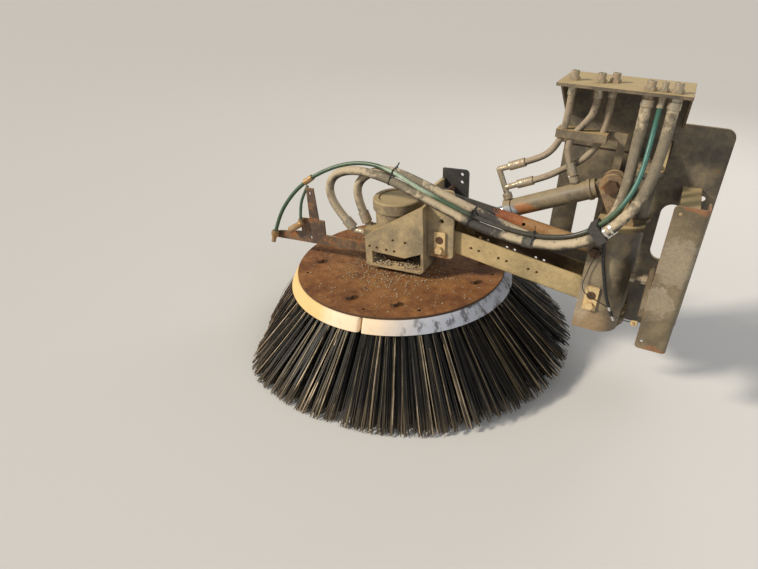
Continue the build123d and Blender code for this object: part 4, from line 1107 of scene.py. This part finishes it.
@dataclass
class HoseSet:
    """The motor hoses, the water line and the hoses of the lift cylinder.

    Attributes:
        motor_radius: Radius of the motor hoses.
        water_radius: Radius of the water line.
        branch_radius: Radius of the branch to the inner nozzle.
        lift_radius: Radius of the lift hoses.
        steps: Points for each control point of a route.
        hose_a: Route of the front motor hose, in millimetres, as the other routes are.
        hose_b: Route of the other motor hose.
        water: Route of the water line.
        branch: Route of its branch.
        base_hose: Route of the hose at the cylinder's base.
        low_hose: Route of the hose at the lower elbow.
        high_hose: Route of the hose at the upper elbow.
    """

    motor_radius: float = 0.014
    water_radius: float = 0.0065
    branch_radius: float = 0.005
    lift_radius: float = 0.0095
    steps: int = 12
    hose_a: tuple[Point, ...] = (
        (-838, -264, -73), (-880, -266, -34), (-903, -268, 22), (-886, -270, 72), (-832, -273, 102),
        (-758, -279, 111), (-666, -289, 103), (-568, -300, 77), (-479, -304, 53), (-398, -306, 27),
        (-305, -307, 11), (-209, -307, 5), (-130, -307, 18), (-64, -307, 49), (-19, -307, 92),
        (9, -304, 131), (33, -292, 175), (44, -271, 219), (49, -244, 261), (52, -221, 306),
        (52, -210, 354), (52, -210, 392),
    )
    hose_b: tuple[Point, ...] = (
        (-786, -242, -42), (-806, -243, 0), (-808, -245, 52), (-768, -249, 96), (-690, -249, 123),
        (-572, -279, 109), (-483, -286, 84), (-395, -280, 56), (-301, -278, 29), (-217, -278, 11),
        (-142, -278, 16), (-76, -278, 44), (-33, -278, 89), (-13, -273, 140), (-7, -258, 195),
        (-8, -236, 245), (-10, -218, 292), (-10, -210, 340), (-10, -210, 392),
    )
    water: tuple[Point, ...] = (
        (-1104, -302, -160), (-1090, -298, -108), (-1060, -291, -48), (-1010, -283, 16),
        (-940, -272, 72), (-852, -258, 115), (-760, -260, 134), (-668, -281, 130), (-575, -305, 103),
        (-479, -311, 77), (-398, -306, 51), (-305, -304, 34), (-212, -301, 27), (-133, -297, 39),
        (-80, -297, 65), (-38, -300, 106), (-9, -299, 149), (11, -287, 193), (20, -264, 238),
        (21, -238, 282), (21, -218, 325), (21, -210, 362), (21, -210, 392),
    )
    branch: tuple[Point, ...] = ((-995, -304, -92), (-997, -300, -52), (-991, -293, -12), (-977, -281, 24))
    base_hose: tuple[Point, ...] = (
        (-171.1, -172, 208.7), (-181.7, -172, 231.4), (-184, -172, 262), (-172, -172, 295),
        (-148, -172, 326), (-133, -172, 357), (-133, -172, 392),
    )
    low_hose: tuple[Point, ...] = (
        (-263.4, -172, 142.3), (-227.2, -172, 159.3), (-182, -149, 188), (-140, -149, 218),
        (-112, -149, 260), (-100, -149, 310), (-100, -149, 392),
    )
    high_hose: tuple[Point, ...] = (
        (-294.4, -172, 191.9), (-258.2, -172, 208.9), (-231, -172, 230), (-212, -172, 262),
        (-200, -172, 308), (-200, -172, 392),
    )

    def sections(self) -> list[Section]:
        """Cuts each hose where its sections meet.

        Returns:
            All sections.
        """
        found: list[Section] = []
        arm_bend = ((-640.0, -290.0, 100.0), (-380.0, -300.0, 40.0))
        post_bend = ((-300.0, -300.0, 20.0), (-60.0, -300.0, 60.0))
        rise_bend = ((-30.0, -290.0, 100.0), (40.0, -215.0, 370.0))
        for name, route, radius, (one, two), finish, slot, stem in (
            ("motor_hose_a", self.hose_a, self.motor_radius, (9, 13), HOSE, Slot.HOSE, "motor_hoses"),
            ("motor_hose_b", self.hose_b, self.motor_radius, (7, 11), HOSE, Slot.HOSE, "motor_hoses"),
            ("water_line", self.water, self.water_radius, (10, 14), WATER, Slot.WATER, "water_line"),
        ):
            first = middle(route[one], route[one + 1])
            second = middle(route[two], route[two + 1])
            parts = (
                ("head", (*route[: one + 1], first), Body.HEAD, Body.ARM, arm_bend),
                ("arm", (first, *route[one + 1 : two + 1], second), Body.ARM, Body.POST, post_bend),
                ("frame", (second, *route[two + 1 :]), Body.POST, Body.FRAME, rise_bend),
            )
            for part, points, near, far, bend in parts:
                label, node = f"{name}_{part}_dressed", f"{stem}_{part}"
                found.append(Section(label, points, radius, finish, slot, near, far, node, bend))
        for name, route, cut in (
            ("lift_hose_base", self.base_hose, 2),
            ("lift_hose_low", self.low_hose, 4),
            ("lift_hose_high", self.high_hose, 3),
        ):
            joint = middle(route[cut], route[cut + 1])
            for part, points, near, far, bend in (
                ("cylinder", (*route[: cut + 1], joint), Body.CYLINDER, Body.POST, (route[0], joint)),
                ("frame", (joint, *route[cut + 1 :]), Body.POST, Body.FRAME, (joint, route[-1])),
            ):
                label, node = f"{name}_{part}_dressed", f"lift_hoses_{part}"
                found.append(
                    Section(label, points, self.lift_radius, OLD_HOSE, Slot.HOSE, near, far, node, bend)
                )
        return found

    def build(self, finishes: Finishes) -> None:
        """Makes every hose.

        Args:
            finishes: The finishes.
        """
        for section in self.sections():
            mesher = Mesher()
            mesher.tube(curve_points(metres(section.route), self.steps), circle(section.radius, 20))
            made = mesher.piece(section.name, finishes.get(section.finish), None, 60.0)
            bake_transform(made)
            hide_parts(section.replaces)
        mesher = Mesher()
        mesher.tube(curve_points(metres(self.branch), self.steps), circle(self.branch_radius, 16))
        made = mesher.piece("spray_branch_dressed", finishes.get(WATER), Body.HEAD, 60.0)
        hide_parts("spray_branch")


@dataclass(frozen=True)
class Tuft:
    """One bundle of the brush's wires.

    Attributes:
        angle: Its angle round the ring.
        root: Radius of the ring that its root stands on.
        tip: Radius of the ring that its tip reaches.
        lean: Its sideways lean, in radians.
    """

    angle: float
    root: float
    tip: float
    lean: float


@dataclass
class BrushRing:
    """The four segments of the brush, with their wires, and the grit on the plate and in the bracket.

    Attributes:
        segments: Number of segments.
        start: Angle of the gap before the first one, in degrees.
        gap: Angle between two of them, in degrees.
        inner: Radius of the block's inside.
        top: Outer radius at the block's top.
        bottom: Outer radius at its bottom.
        upper: Height of its top, from the plate's top.
        lower: Height of its bottom.
        arc_steps: Steps along a block.
        end_round: Radius of its rounded ends.
        worn_end_round: Radius of the one end that is worn.
        wire_runs: Straight runs in a wire.
        tip_height: Height of the wires' tips, where the ground doesn't lift them.
        longest: Radius that no tip goes past.
        push: How far the wires are pushed in.
        near_push: Angle where the push begins and angle over which it grows, at the near side.
        far_push: The same at the far side.
        stones: Stones thrown on the plate.
        stone_limit: Radius that no stone lies past.
        chips: Chips thrown into the motor bracket.
        rows: Tufts in a segment, root radius, tip radius and wires in a tuft, for each row.
    """

    segments: int = 4
    start: float = -84.0
    gap: float = 1.2
    inner: float = 0.262
    top: float = 0.358
    bottom: float = 0.378
    upper: float = -0.008
    lower: float = -0.050
    arc_steps: int = 72
    end_round: float = 0.006
    worn_end_round: float = 0.013
    wire_runs: int = 5
    tip_height: float = -0.255
    longest: float = 0.580
    push: float = 0.100
    near_push: tuple[float, float] = (-115.0, 35.0)
    far_push: tuple[float, float] = (125.0, 25.0)
    stones: int = 1500
    stone_limit: float = 0.335
    chips: int = 420
    rows: tuple[tuple[int, float, float, int], ...] = (
        (25, 0.366, 0.578, 15),
        (24, 0.348, 0.560, 14),
        (23, 0.328, 0.540, 13),
        (21, 0.306, 0.515, 12),
        (19, 0.284, 0.488, 10),
    )

    def span(self, index: int) -> tuple[float, float]:
        """First angle and sweep of a segment, in degrees."""
        return self.start + index * 360 / self.segments + self.gap / 2, 360 / self.segments - self.gap

    def block(self, index: int, finishes: Finishes) -> bpy.types.Object:
        """One plastic block, with its ends rounded.

        Args:
            index: Number of the segment, from 0.
            finishes: The finishes.

        Returns:
            The block.
        """
        begin, sweep = self.span(index)
        verts: list[Vector] = []
        for step in range(self.arc_steps + 1):
            share = 0.5 - 0.5 * math.cos(math.pi * (step / self.arc_steps))
            angle = math.radians(begin + sweep * share)
            from_end = min(share, 1 - share) * math.radians(sweep) * self.bottom
            worn = index == self.segments - 1 and share > 0.5
            corner = self.worn_end_round if worn else self.end_round
            cut = corner - math.sqrt(max(0.0, corner**2 - max(0.0, corner - from_end) ** 2))
            profile = (
                (self.inner, self.upper),
                (self.top - 0.004 - cut, self.upper),
                (self.top - cut, self.upper - 0.003),
                (self.top + 0.0102 - cut, self.upper - 0.021),
                (self.bottom - 0.0005 - cut, self.lower + 0.003),
                (self.bottom - 0.004 - cut, self.lower),
                (self.inner, self.lower),
            )
            ray = Vector((math.cos(angle), math.sin(angle), 0))
            verts.extend(HEAD @ (ray * r + Vector((0, 0, z))) for r, z in profile)
        count = len(profile)
        first, last = (tuple(reversed(face)) for face in caps(self.arc_steps * count, count))
        mesher = Mesher()
        mesher.add(verts, [first, last, *quads(self.arc_steps + 1, count, turned=True)])
        return mesher.piece(f"brush_block_{index + 1}", finishes.get(RING_PLASTIC_LIT_AND_SHADED), Body.BRUSH, 32.0)

    def wires(self, index: int, finishes: Finishes) -> bpy.types.Object:
        """The steel wires of one segment.

        Args:
            index: Number of the segment, from 0.
            finishes: The finishes.

        Returns:
            The wires as one piece.
        """
        dice = random.Random(40 + index)
        begin, sweep = self.span(index)
        mesher = Mesher()
        for row, (count, root, tip, wires) in enumerate(self.rows):
            # Rows further in are painted darker: painted shade.
            shade = 1.0 - 0.13 * row
            for number in range(count):
                angle = math.radians(begin + (number + 0.5 + (row % 2) * 0.22) * sweep / (count + 0.3))
                tuft = Tuft(angle, root, tip, dice.uniform(-0.010, 0.010))
                # Pale wires: painted highlight, with dust, mostly in the outer row.
                strands = dice.choice((1, 2, 4, 5)) if row == 0 else int(row < 3)
                for wire in range(wires):
                    path, section, tone = self.wire(tuft, wire < strands, dice)
                    mesher.tube(path, section, tone * shade)
        return mesher.piece(f"brush_wires_{index + 1}", finishes.get(BRISTLES), Body.BRUSH, None)

    def pushed(self, turn: float) -> float:
        """How far the tips of the wires are pushed in, most at the front of the truck.

        Args:
            turn: Angle round the ring.

        Returns:
            The distance in metres.
        """
        degrees = math.degrees(turn + math.pi) % 360 - 180
        near = (self.near_push[0] - degrees) / self.near_push[1]
        far = (degrees - self.far_push[0]) / self.far_push[1]
        ease = max(0.0, min(1.0, near), min(1.0, far))
        return self.push * ease * ease * (3 - 2 * ease)

    def wire(self, tuft: Tuft, strand: bool, dice: random.Random) -> tuple[list[Vector], Outline, float]:
        """One wire of a tuft, bent out and kept above the ground.

        Args:
            tuft: Its tuft.
            strand: True for a thick pale wire, whose pale tone is a painted highlight with dust.
            dice: Source of chance.

        Returns:
            The path, the section and the tone.
        """
        root, tip = tuft.root, tuft.tip
        side = dice.gauss(0, 1)
        deep = dice.uniform(-1, 1)
        spin = tuft.angle + side * 0.0036 / root
        far = tuft.angle + tuft.lean + side * 0.0080 / tip + dice.gauss(0, 0.003)
        reach = min(tip + deep * 0.008 - abs(dice.gauss(0, 0.004)), self.longest) - self.pushed(far)
        foot = self.tip_height + abs(dice.gauss(0, 0.006)) + (self.longest - tip) * 0.05
        end = HEAD @ Vector((reach * math.cos(far), reach * math.sin(far), foot))
        foot += max(0.0, GROUND + 0.0008 - end.z)
        sag = dice.gauss(0.0, 0.006)
        path: list[Vector] = []
        for step in range(self.wire_runs + 1):
            share = step / self.wire_runs
            turn = spin + (far - spin) * share
            radius = root + deep * 0.004 + (reach - root) * share - math.sin(math.pi * share) * (0.004 - sag)
            height = self.lower + 0.004 + (foot - self.lower) * share
            point = HEAD @ Vector((radius * math.cos(turn), radius * math.sin(turn), height))
            point.z = max(point.z, GROUND + 0.0006)
            path.append(point)
        # A pale wire's bright tone is a painted highlight, with dust.
        if strand:
            return path, box_section(dice.uniform(0.0011, 0.0018), 0.0007), dice.uniform(0.66, 1.0)
        return path, box_section(dice.uniform(0.0010, 0.0014), 0.0005), dice.betavariate(1.4, 6.0)

    def heap(self, frame: dict[str, Any], finishes: Finishes) -> None:
        """Grit and chips that lie on the floor of the motor bracket's window.

        Args:
            frame: The loaded frame.
            finishes: The finishes.
        """
        dice = random.Random(11)
        mesher = Mesher()
        mesh = frame["nodes"]["motor_bracket"].data
        corners = [vertex.co for vertex in mesh.vertices]
        tree = BVHTree.FromPolygons(corners, [tuple(face.vertices) for face in mesh.polygons])
        for _ in range(self.chips):
            right, left = dice.gauss(-0.585, 0.020), dice.gauss(-0.700, 0.016)
            x = dice.choice((right, left, dice.uniform(-0.73, -0.56)))
            start = Vector((x, dice.uniform(-0.300, -0.215), -0.176))
            at, normal, _, _ = tree.ray_cast(start, Vector((0, 0, -1)), 0.05)
            if at is None or normal.z < 0.8:
                continue
            size = dice.choice((0.0012, 0.0018, 0.0026, 0.0038, 0.0050))
            mesher.pebble(at + Vector((0, 0, size * dice.uniform(0.3, 1.2))), size, dice, dice.random())
        mesher.piece("window_grit", finishes.get(GRIT), Body.HEAD, 50.0)

    def litter(self, finishes: Finishes) -> None:
        """Stones and grit on the brush plate.

        Args:
            finishes: The finishes.
        """
        dice = random.Random(7)
        mesher = Mesher()
        for _ in range(self.stones):
            turn = dice.uniform(0, 2 * math.pi)
            inner = dice.random() < 0.6
            radius = 0.075 + abs(dice.gauss(0, 0.07)) if inner else dice.uniform(0.08, self.stone_limit)
            if radius > self.stone_limit:
                continue
            size = dice.choice((0.0010, 0.0013, 0.0018, 0.0026, 0.0034))
            at = HEAD @ Vector((radius * math.cos(turn), radius * math.sin(turn), size * 0.30))
            mesher.pebble(at, size, dice, dice.random())
        mesher.piece("plate_grit", finishes.get(GRIT), Body.BRUSH, 50.0)

    def build(self, frame: dict[str, Any], finishes: Finishes) -> None:
        """Makes the ring and the grit.

        Args:
            frame: The loaded frame.
            finishes: The finishes.
        """
        for index in range(self.segments):
            block = self.block(index, finishes)
            wires = self.wires(index, finishes)
            for piece in (block, wires):
                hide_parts(f"brush_segment_{index + 1}")
        self.litter(finishes)
        self.heap(frame, finishes)


@dataclass
class Ties:
    """Cable ties, the collar and the clips round the hoses, in metres.

    Attributes:
        hoses: The hoses that they hold.
        reach: How far from a tie its hoses are looked for.
        thickness: Inside and outside of a band, off the hose.
        band_sides: Steps round a band.
        tie_width: Width of a cable tie.
        collar_at: Place of the collar.
        arm_bend: Where the hoses bend from the head to the arm; not used.
        post_bend: Where the hoses bend from the arm to the post; not used.
        places: Name, place, direction and side of the lock of each tie.
    """

    hoses: HoseSet
    reach: float = 0.06
    thickness: tuple[float, float] = (0.0003, 0.0016)
    band_sides: int = 48
    tie_width: float = 0.0048
    collar_at: Point = (-0.222, -0.307, 0.005)
    arm_bend: tuple[Point, Point] = ((-0.640, -0.290, 0.100), (-0.380, -0.300, 0.040))
    post_bend: tuple[Point, Point] = ((-0.300, -0.300, 0.020), (-0.060, -0.300, 0.060))
    places: tuple[tuple[str, Point, Point, float], ...] = (
        ("tie_head", (-0.668, -0.276, 0.117), (-98, -14, 20), 2.2),
        ("tie_arm_left", (-0.398, -0.297, 0.044), (-93, -2, 26), 0.6),
        ("tie_arm_right", (-0.211, -0.296, 0.015), (90, 0, 0), 1.4),
    )

    def rings(self, place: Matrix) -> Rings:
        """Centres of the hoses where they cross a tie's plane.

        Args:
            place: The tie's place, its Z along the hoses.

        Returns:
            Each centre in the tie's plane, and the hose's radius.
        """
        found: Rings = []
        back = place.inverted()
        hoses = self.hoses
        for route, radius in (
            (hoses.hose_a, hoses.motor_radius),
            (hoses.hose_b, hoses.motor_radius),
            (hoses.water, hoses.water_radius),
        ):
            local = [back @ point for point in curve_points(metres(route), hoses.steps)]
            close = [point for point in local if math.hypot(point.x, point.y) < self.reach]
            found.append((min(close, key=lambda point: abs(point.z)), radius))
        return found

    def outermost(self, rings: Rings, out: Vector) -> Vector:
        """Point of a bundle that lies furthest out in a direction, all in the tie's plane."""
        centre, radius = max(rings, key=lambda ring: ring[0].x * out.x + ring[0].y * out.y + ring[1])
        return Vector((centre.x, centre.y, 0)) + out * radius

    def band(self, mesher: Mesher, place: Matrix, rings: Rings, shift: float, width: float) -> None:
        """A flat band drawn tight round several hoses.

        Args:
            mesher: Where the band goes.
            place: Place of its middle, with Z along the hoses.
            rings: Centre and radius of each hose.
            shift: Distance along the hoses.
            width: Its width.
        """
        low, high = self.thickness
        section = ((low, -width / 2), (high, -width / 2), (high, width / 2), (low, width / 2))
        verts: list[Vector] = []
        for step in range(self.band_sides):
            turn = 2 * math.pi * step / self.band_sides
            out = Vector((math.cos(turn), math.sin(turn), 0))
            base = self.outermost(rings, out)
            for raised, along in section:
                verts.append(place @ (base + out * raised + Vector((0, 0, shift + along))))
        mesher.add(verts, quads(self.band_sides, len(section), closed=True, turned=True))

    def tail(self, mesher: Mesher, place: Matrix, rings: Rings, turn: float) -> None:
        """The lock of a tie and its cut end.

        Args:
            mesher: Where they go.
            place: Place of the tie.
            rings: Centre and radius of each hose.
            turn: Side of the bundle that the lock is on, in radians.
        """
        out = Vector((math.cos(turn), math.sin(turn), 0))
        across = Vector((-out.y, out.x, 0))
        base = self.outermost(rings, out) + out * 0.001
        for steps, section in (
            (((0.0, 0.0), (0.0022, 0.0), (0.0045, 0.0)), box_section(0.0035, 0.0035)),
            (((0.003, 0.0), (0.010, 0.004), (0.021, 0.011)), box_section(0.002, 0.0006)),
        ):
            mesher.tube([place @ (base + out * high + across * wide) for high, wide in steps], section)

    def bent(self, made: bpy.types.Object, at: float) -> None:
        """Bakes a piece's place into its mesh, the same at any X.

        Args:
            made: The piece.
            at: Its X, in metres.
        """
        if at < -0.42:
            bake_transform(made)
        else:
            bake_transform(made)

    def build(self, finishes: Finishes) -> None:
        """Makes the ties, the collar and the clips.

        Args:
            finishes: The finishes.
        """
        for name, at, ahead, turn in self.places:
            place = facing(Vector(at), Vector(ahead))
            rings = self.rings(place)
            mesher = Mesher()
            self.band(mesher, place, rings, 0.0, self.tie_width)
            self.tail(mesher, place, rings, turn)
            self.bent(mesher.piece(name, finishes.get(NYLON), None, None), at[0])
        self.collar(finishes)
        self.clips(finishes)

    def collar(self, finishes: Finishes) -> None:
        """Makes the rubber collar on the front motor hose.

        Args:
            finishes: The finishes.
        """
        place = facing(Vector(self.collar_at), Vector((90, 0, 1)))
        mesher = Mesher()
        own = self.rings(place)[:1]
        for shift, width in ((-0.014, 0.006), (0.0, 0.020), (0.013, 0.004)):
            self.band(mesher, place, own, shift, width)
        self.bent(mesher.piece("hose_collar", finishes.get(COLLAR), None, 50.0), self.collar_at[0])

    def clips(self, finishes: Finishes) -> None:
        """Makes the two bright clips beside the clamp.

        Args:
            finishes: The finishes.
        """
        clips = Mesher()
        for at, ahead in (((-0.013, -0.303, 0.092), (50, 0, 40)), ((-0.026, -0.303, 0.082), (50, 0, 48))):
            place = facing(Vector(at), Vector(ahead))
            rings = self.rings(place)[:1]
            self.band(clips, place, rings, 0.0, 0.007)
            for k, (wide, high) in enumerate(((0.0045, 0.007), (0.0032, 0.004))):
                turn = math.radians(-70 + 12 * k)
                out = Vector((math.cos(turn), math.sin(turn), 0))
                base = self.outermost(rings, out) + out * (0.001 + 0.004 * k)
                path = [place @ (base + out * raised) for raised in (0.0, 0.002, 0.0042)]
                clips.tube(path, box_section(wide, high))
        made = clips.piece("bright_clips", finishes.get(BRIGHT_CLIP), None, None)
        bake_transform(made)


@dataclass
class Cables:
    """The cable and the thin wires that hang down the post to a lug on the guard.

    Attributes:
        cable: Route of the cable, in millimetres.
        wire: Route of the wire beside it.
        link: Route of the wire to the lug.
        stray: Route of the wire end that stands up at the head.
        steps: Points for each control point of a route.
        ferrule: Radius and height of the corners of a ferrule.
        lug_outline: Corners of the lug.
        lug_depth: Its thickness.
        lug_screw: Radius and height of the corners of its screw.
    """

    cable: tuple[Point, ...] = (
        (-48, -300, 74), (-30, -290, 52), (-23, -276, 14), (-20, -270, -18), (-9, -270, -58),
        (5, -270, -108), (20, -270, -145), (32, -270, -168), (41, -270, -184),
    )
    wire: tuple[Point, ...] = (
        (-30, -300, 74), (-20, -290, 45), (-36, -277, 15), (-48, -271, -28), (-56, -271, -74),
        (-60, -280, -100), (-48, -288, -117), (-24, -288, -127), (-4, -276, -141), (16, -271, -151),
        (30, -271, -163), (41, -272, -182),
    )
    link: tuple[Point, ...] = (
        (36, -273, -176), (52, -279, -173), (68, -288, -171), (84, -296, -167), (98, -300, -163),
    )
    stray: tuple[Point, ...] = (
        (-489, -279, 138), (-478, -279, 128), (-468, -281, 112), (-452, -283, 84), (-446, -290, 70),
    )
    steps: int = 10
    ferrule: Outline = ((0.003, -0.007), (0.0058, -0.007), (0.0062, -0.004), (0.0058, 0.005), (0.003, 0.007))
    lug_outline: Outline = (
        (0.004, -0.009), (-0.010, -0.008), (-0.014, -0.004), (-0.014, 0.004), (-0.010, 0.008),
        (0.004, 0.009),
    )
    lug_depth: float = 0.003
    lug_screw: Outline = ((0.001, 0), (0.0045, 0), (0.0045, 0.003), (0.001, 0.003))

    def build(self, finishes: Finishes) -> None:
        """Makes the cable, the wires, the ferrules and the lug.

        Args:
            finishes: The finishes.
        """
        for name, route, radius, body in (
            ("post_cable", self.cable, 0.0046, Body.POST),
            ("post_wire", self.wire, 0.0013, Body.POST),
            ("stray_wire", self.stray, 0.0009, Body.ARM),
        ):
            mesher = Mesher()
            mesher.tube(curve_points(metres(route), self.steps), circle(radius, 14))
            mesher.piece(name, finishes.get(SHEATH), body, 60.0)
        mesher = Mesher()
        mesher.tube(curve_points(metres(self.link), self.steps), circle(0.0017, 12))
        made = mesher.piece("lug_wire", finishes.get(SHEATH), None, 60.0)
        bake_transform(made)
        ends = Mesher()
        for at, ahead in (((41, -270, -184), (9, 0, -16)), ((26, -270, -157), (12, 0, -22))):
            ends.lathe(facing(Vector(at) / 1000, Vector(ahead)), self.ferrule, 20)
        ends.piece("cable_ferrules", finishes.get(BRIGHT_CLIP), Body.POST, 40.0)
        lug = Mesher()
        place = Matrix.Translation((0.102, -0.3015, -0.164)) @ Matrix.Rotation(math.radians(90), 4, "X")
        lug.prism(place, self.lug_outline, self.lug_depth)
        lug.lathe(place @ Matrix.Translation((-0.007, 0, self.lug_depth)), self.lug_screw, 6)
        lug.piece("guard_lug", finishes.get(KEEPER_PAINT), Body.FRAME, 35.0, 0.0006)


@dataclass
class Stage:
    """Floor, lights, sky and camera.

    Attributes:
        lens: Focal length, in millimetres.
        sensor: Width of the sensor, in millimetres.
        stand: Place of the camera.
        yaw: Its turn to the left, in degrees.
        pitch: Its tilt down, in degrees.
        roll: Its turn about its own axis, in degrees.
        floor_half: Half the floor's width.
        sun_power: Strength of the sun.
        sun_angle: Width of the sun, in degrees.
        sky: Strength of the sky.
    """

    lens: float = 27.71
    sensor: float = 36.0
    stand: Point = (0.06574, -1.83547, 0.69959)
    yaw: float = 26.23
    pitch: float = 29.39
    roll: float = -1.82
    floor_half: float = 60.0
    sun_power: float = 3.7
    sun_angle: float = 8.0
    sky: float = 0.36

    def camera(self) -> None:
        """Puts the camera at the photograph's place and angle."""
        yaw, pitch, roll = (math.radians(v) for v in (self.yaw, self.pitch, self.roll))
        ahead = Vector((-math.sin(yaw) * math.cos(pitch), math.cos(yaw) * math.cos(pitch), -math.sin(pitch)))
        right = Vector((math.cos(yaw), math.sin(yaw), 0))
        down = ahead.cross(right)
        tilted = math.cos(roll) * right + math.sin(roll) * down
        lower = -math.sin(roll) * right + math.cos(roll) * down
        turn = Matrix((tilted, -lower, -ahead)).transposed()
        data = bpy.data.cameras.new("photo_camera")
        data.lens = self.lens
        data.sensor_width = self.sensor
        data.clip_start = 0.05
        camera = bpy.data.objects.new("photo_camera", data)
        camera.matrix_world = Matrix.Translation(self.stand) @ turn.to_4x4()
        bpy.context.scene.collection.objects.link(camera)
        bpy.context.scene.camera = camera

    def floor(self) -> None:
        """A pale plain floor."""
        mesh = bpy.data.meshes.new("floor")
        corners = [(x, y, GROUND) for x, y in box_section(self.floor_half, self.floor_half)]
        mesh.from_pydata(corners, [], [(0, 1, 2, 3)])
        floor = bpy.data.objects.new("floor", mesh)
        bpy.context.scene.collection.objects.link(floor)
        g = Graph("pale_floor")
        g.set(Base_Color=(0.62, 0.605, 0.58), Roughness=0.9)
        mesh.materials.append(g.material)

    def lights(self) -> None:
        """A warm sun from the front left, a fill at the right and a rim behind, under a pale sky."""
        key = bpy.data.lights.new("key", "SUN")
        key.energy = self.sun_power
        key.angle = math.radians(self.sun_angle)
        key.color = (1.0, 0.92, 0.79)
        sun = bpy.data.objects.new("key", key)
        sun.matrix_world = facing(Vector((-2.6, -2.6, 2.6)), Vector((-2.6, -2.2, 2.0)))
        bpy.context.scene.collection.objects.link(sun)
        for name, at, size, power, colour in (
            ("fill", (2.6, -1.8, 2.0), 2.4, 30.0, (0.93, 0.96, 1.0)),
            ("rim", (0.6, 2.8, 2.2), 2.0, 30.0, (1.0, 0.98, 0.95)),
        ):
            lamp = bpy.data.lights.new(name, "AREA")
            lamp.size = size
            lamp.energy = power
            lamp.color = colour
            holder = bpy.data.objects.new(name, lamp)
            holder.matrix_world = facing(Vector(at), Vector(at) - Vector((-0.5, -0.2, -0.15)))
            bpy.context.scene.collection.objects.link(holder)
        world = bpy.data.worlds.new("studio")
        world.use_nodes = True
        background = world.node_tree.nodes["Background"]
        background.inputs["Color"].default_value = (0.90, 0.92, 0.95, 1.0)
        background.inputs["Strength"].default_value = self.sky
        bpy.context.scene.world = world

    def build(self) -> None:
        """Makes the stage."""
        self.camera()
        self.floor()
        self.lights()
        bpy.context.scene.view_settings.view_transform = "Standard"


def main() -> None:
    """Builds the looks round the frame."""
    logging.basicConfig(level=logging.INFO, format="%(name)s: %(message)s")
    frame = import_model()
    finishes = Finishes()
    finishes.dress(frame)
    hoses = HoseSet()
    hoses.build(finishes)
    BrushRing().build(frame, finishes)
    Ties(hoses).build(finishes)
    Cables().build(finishes)
    Stage().build()


if __name__ == "__main__":
    main()
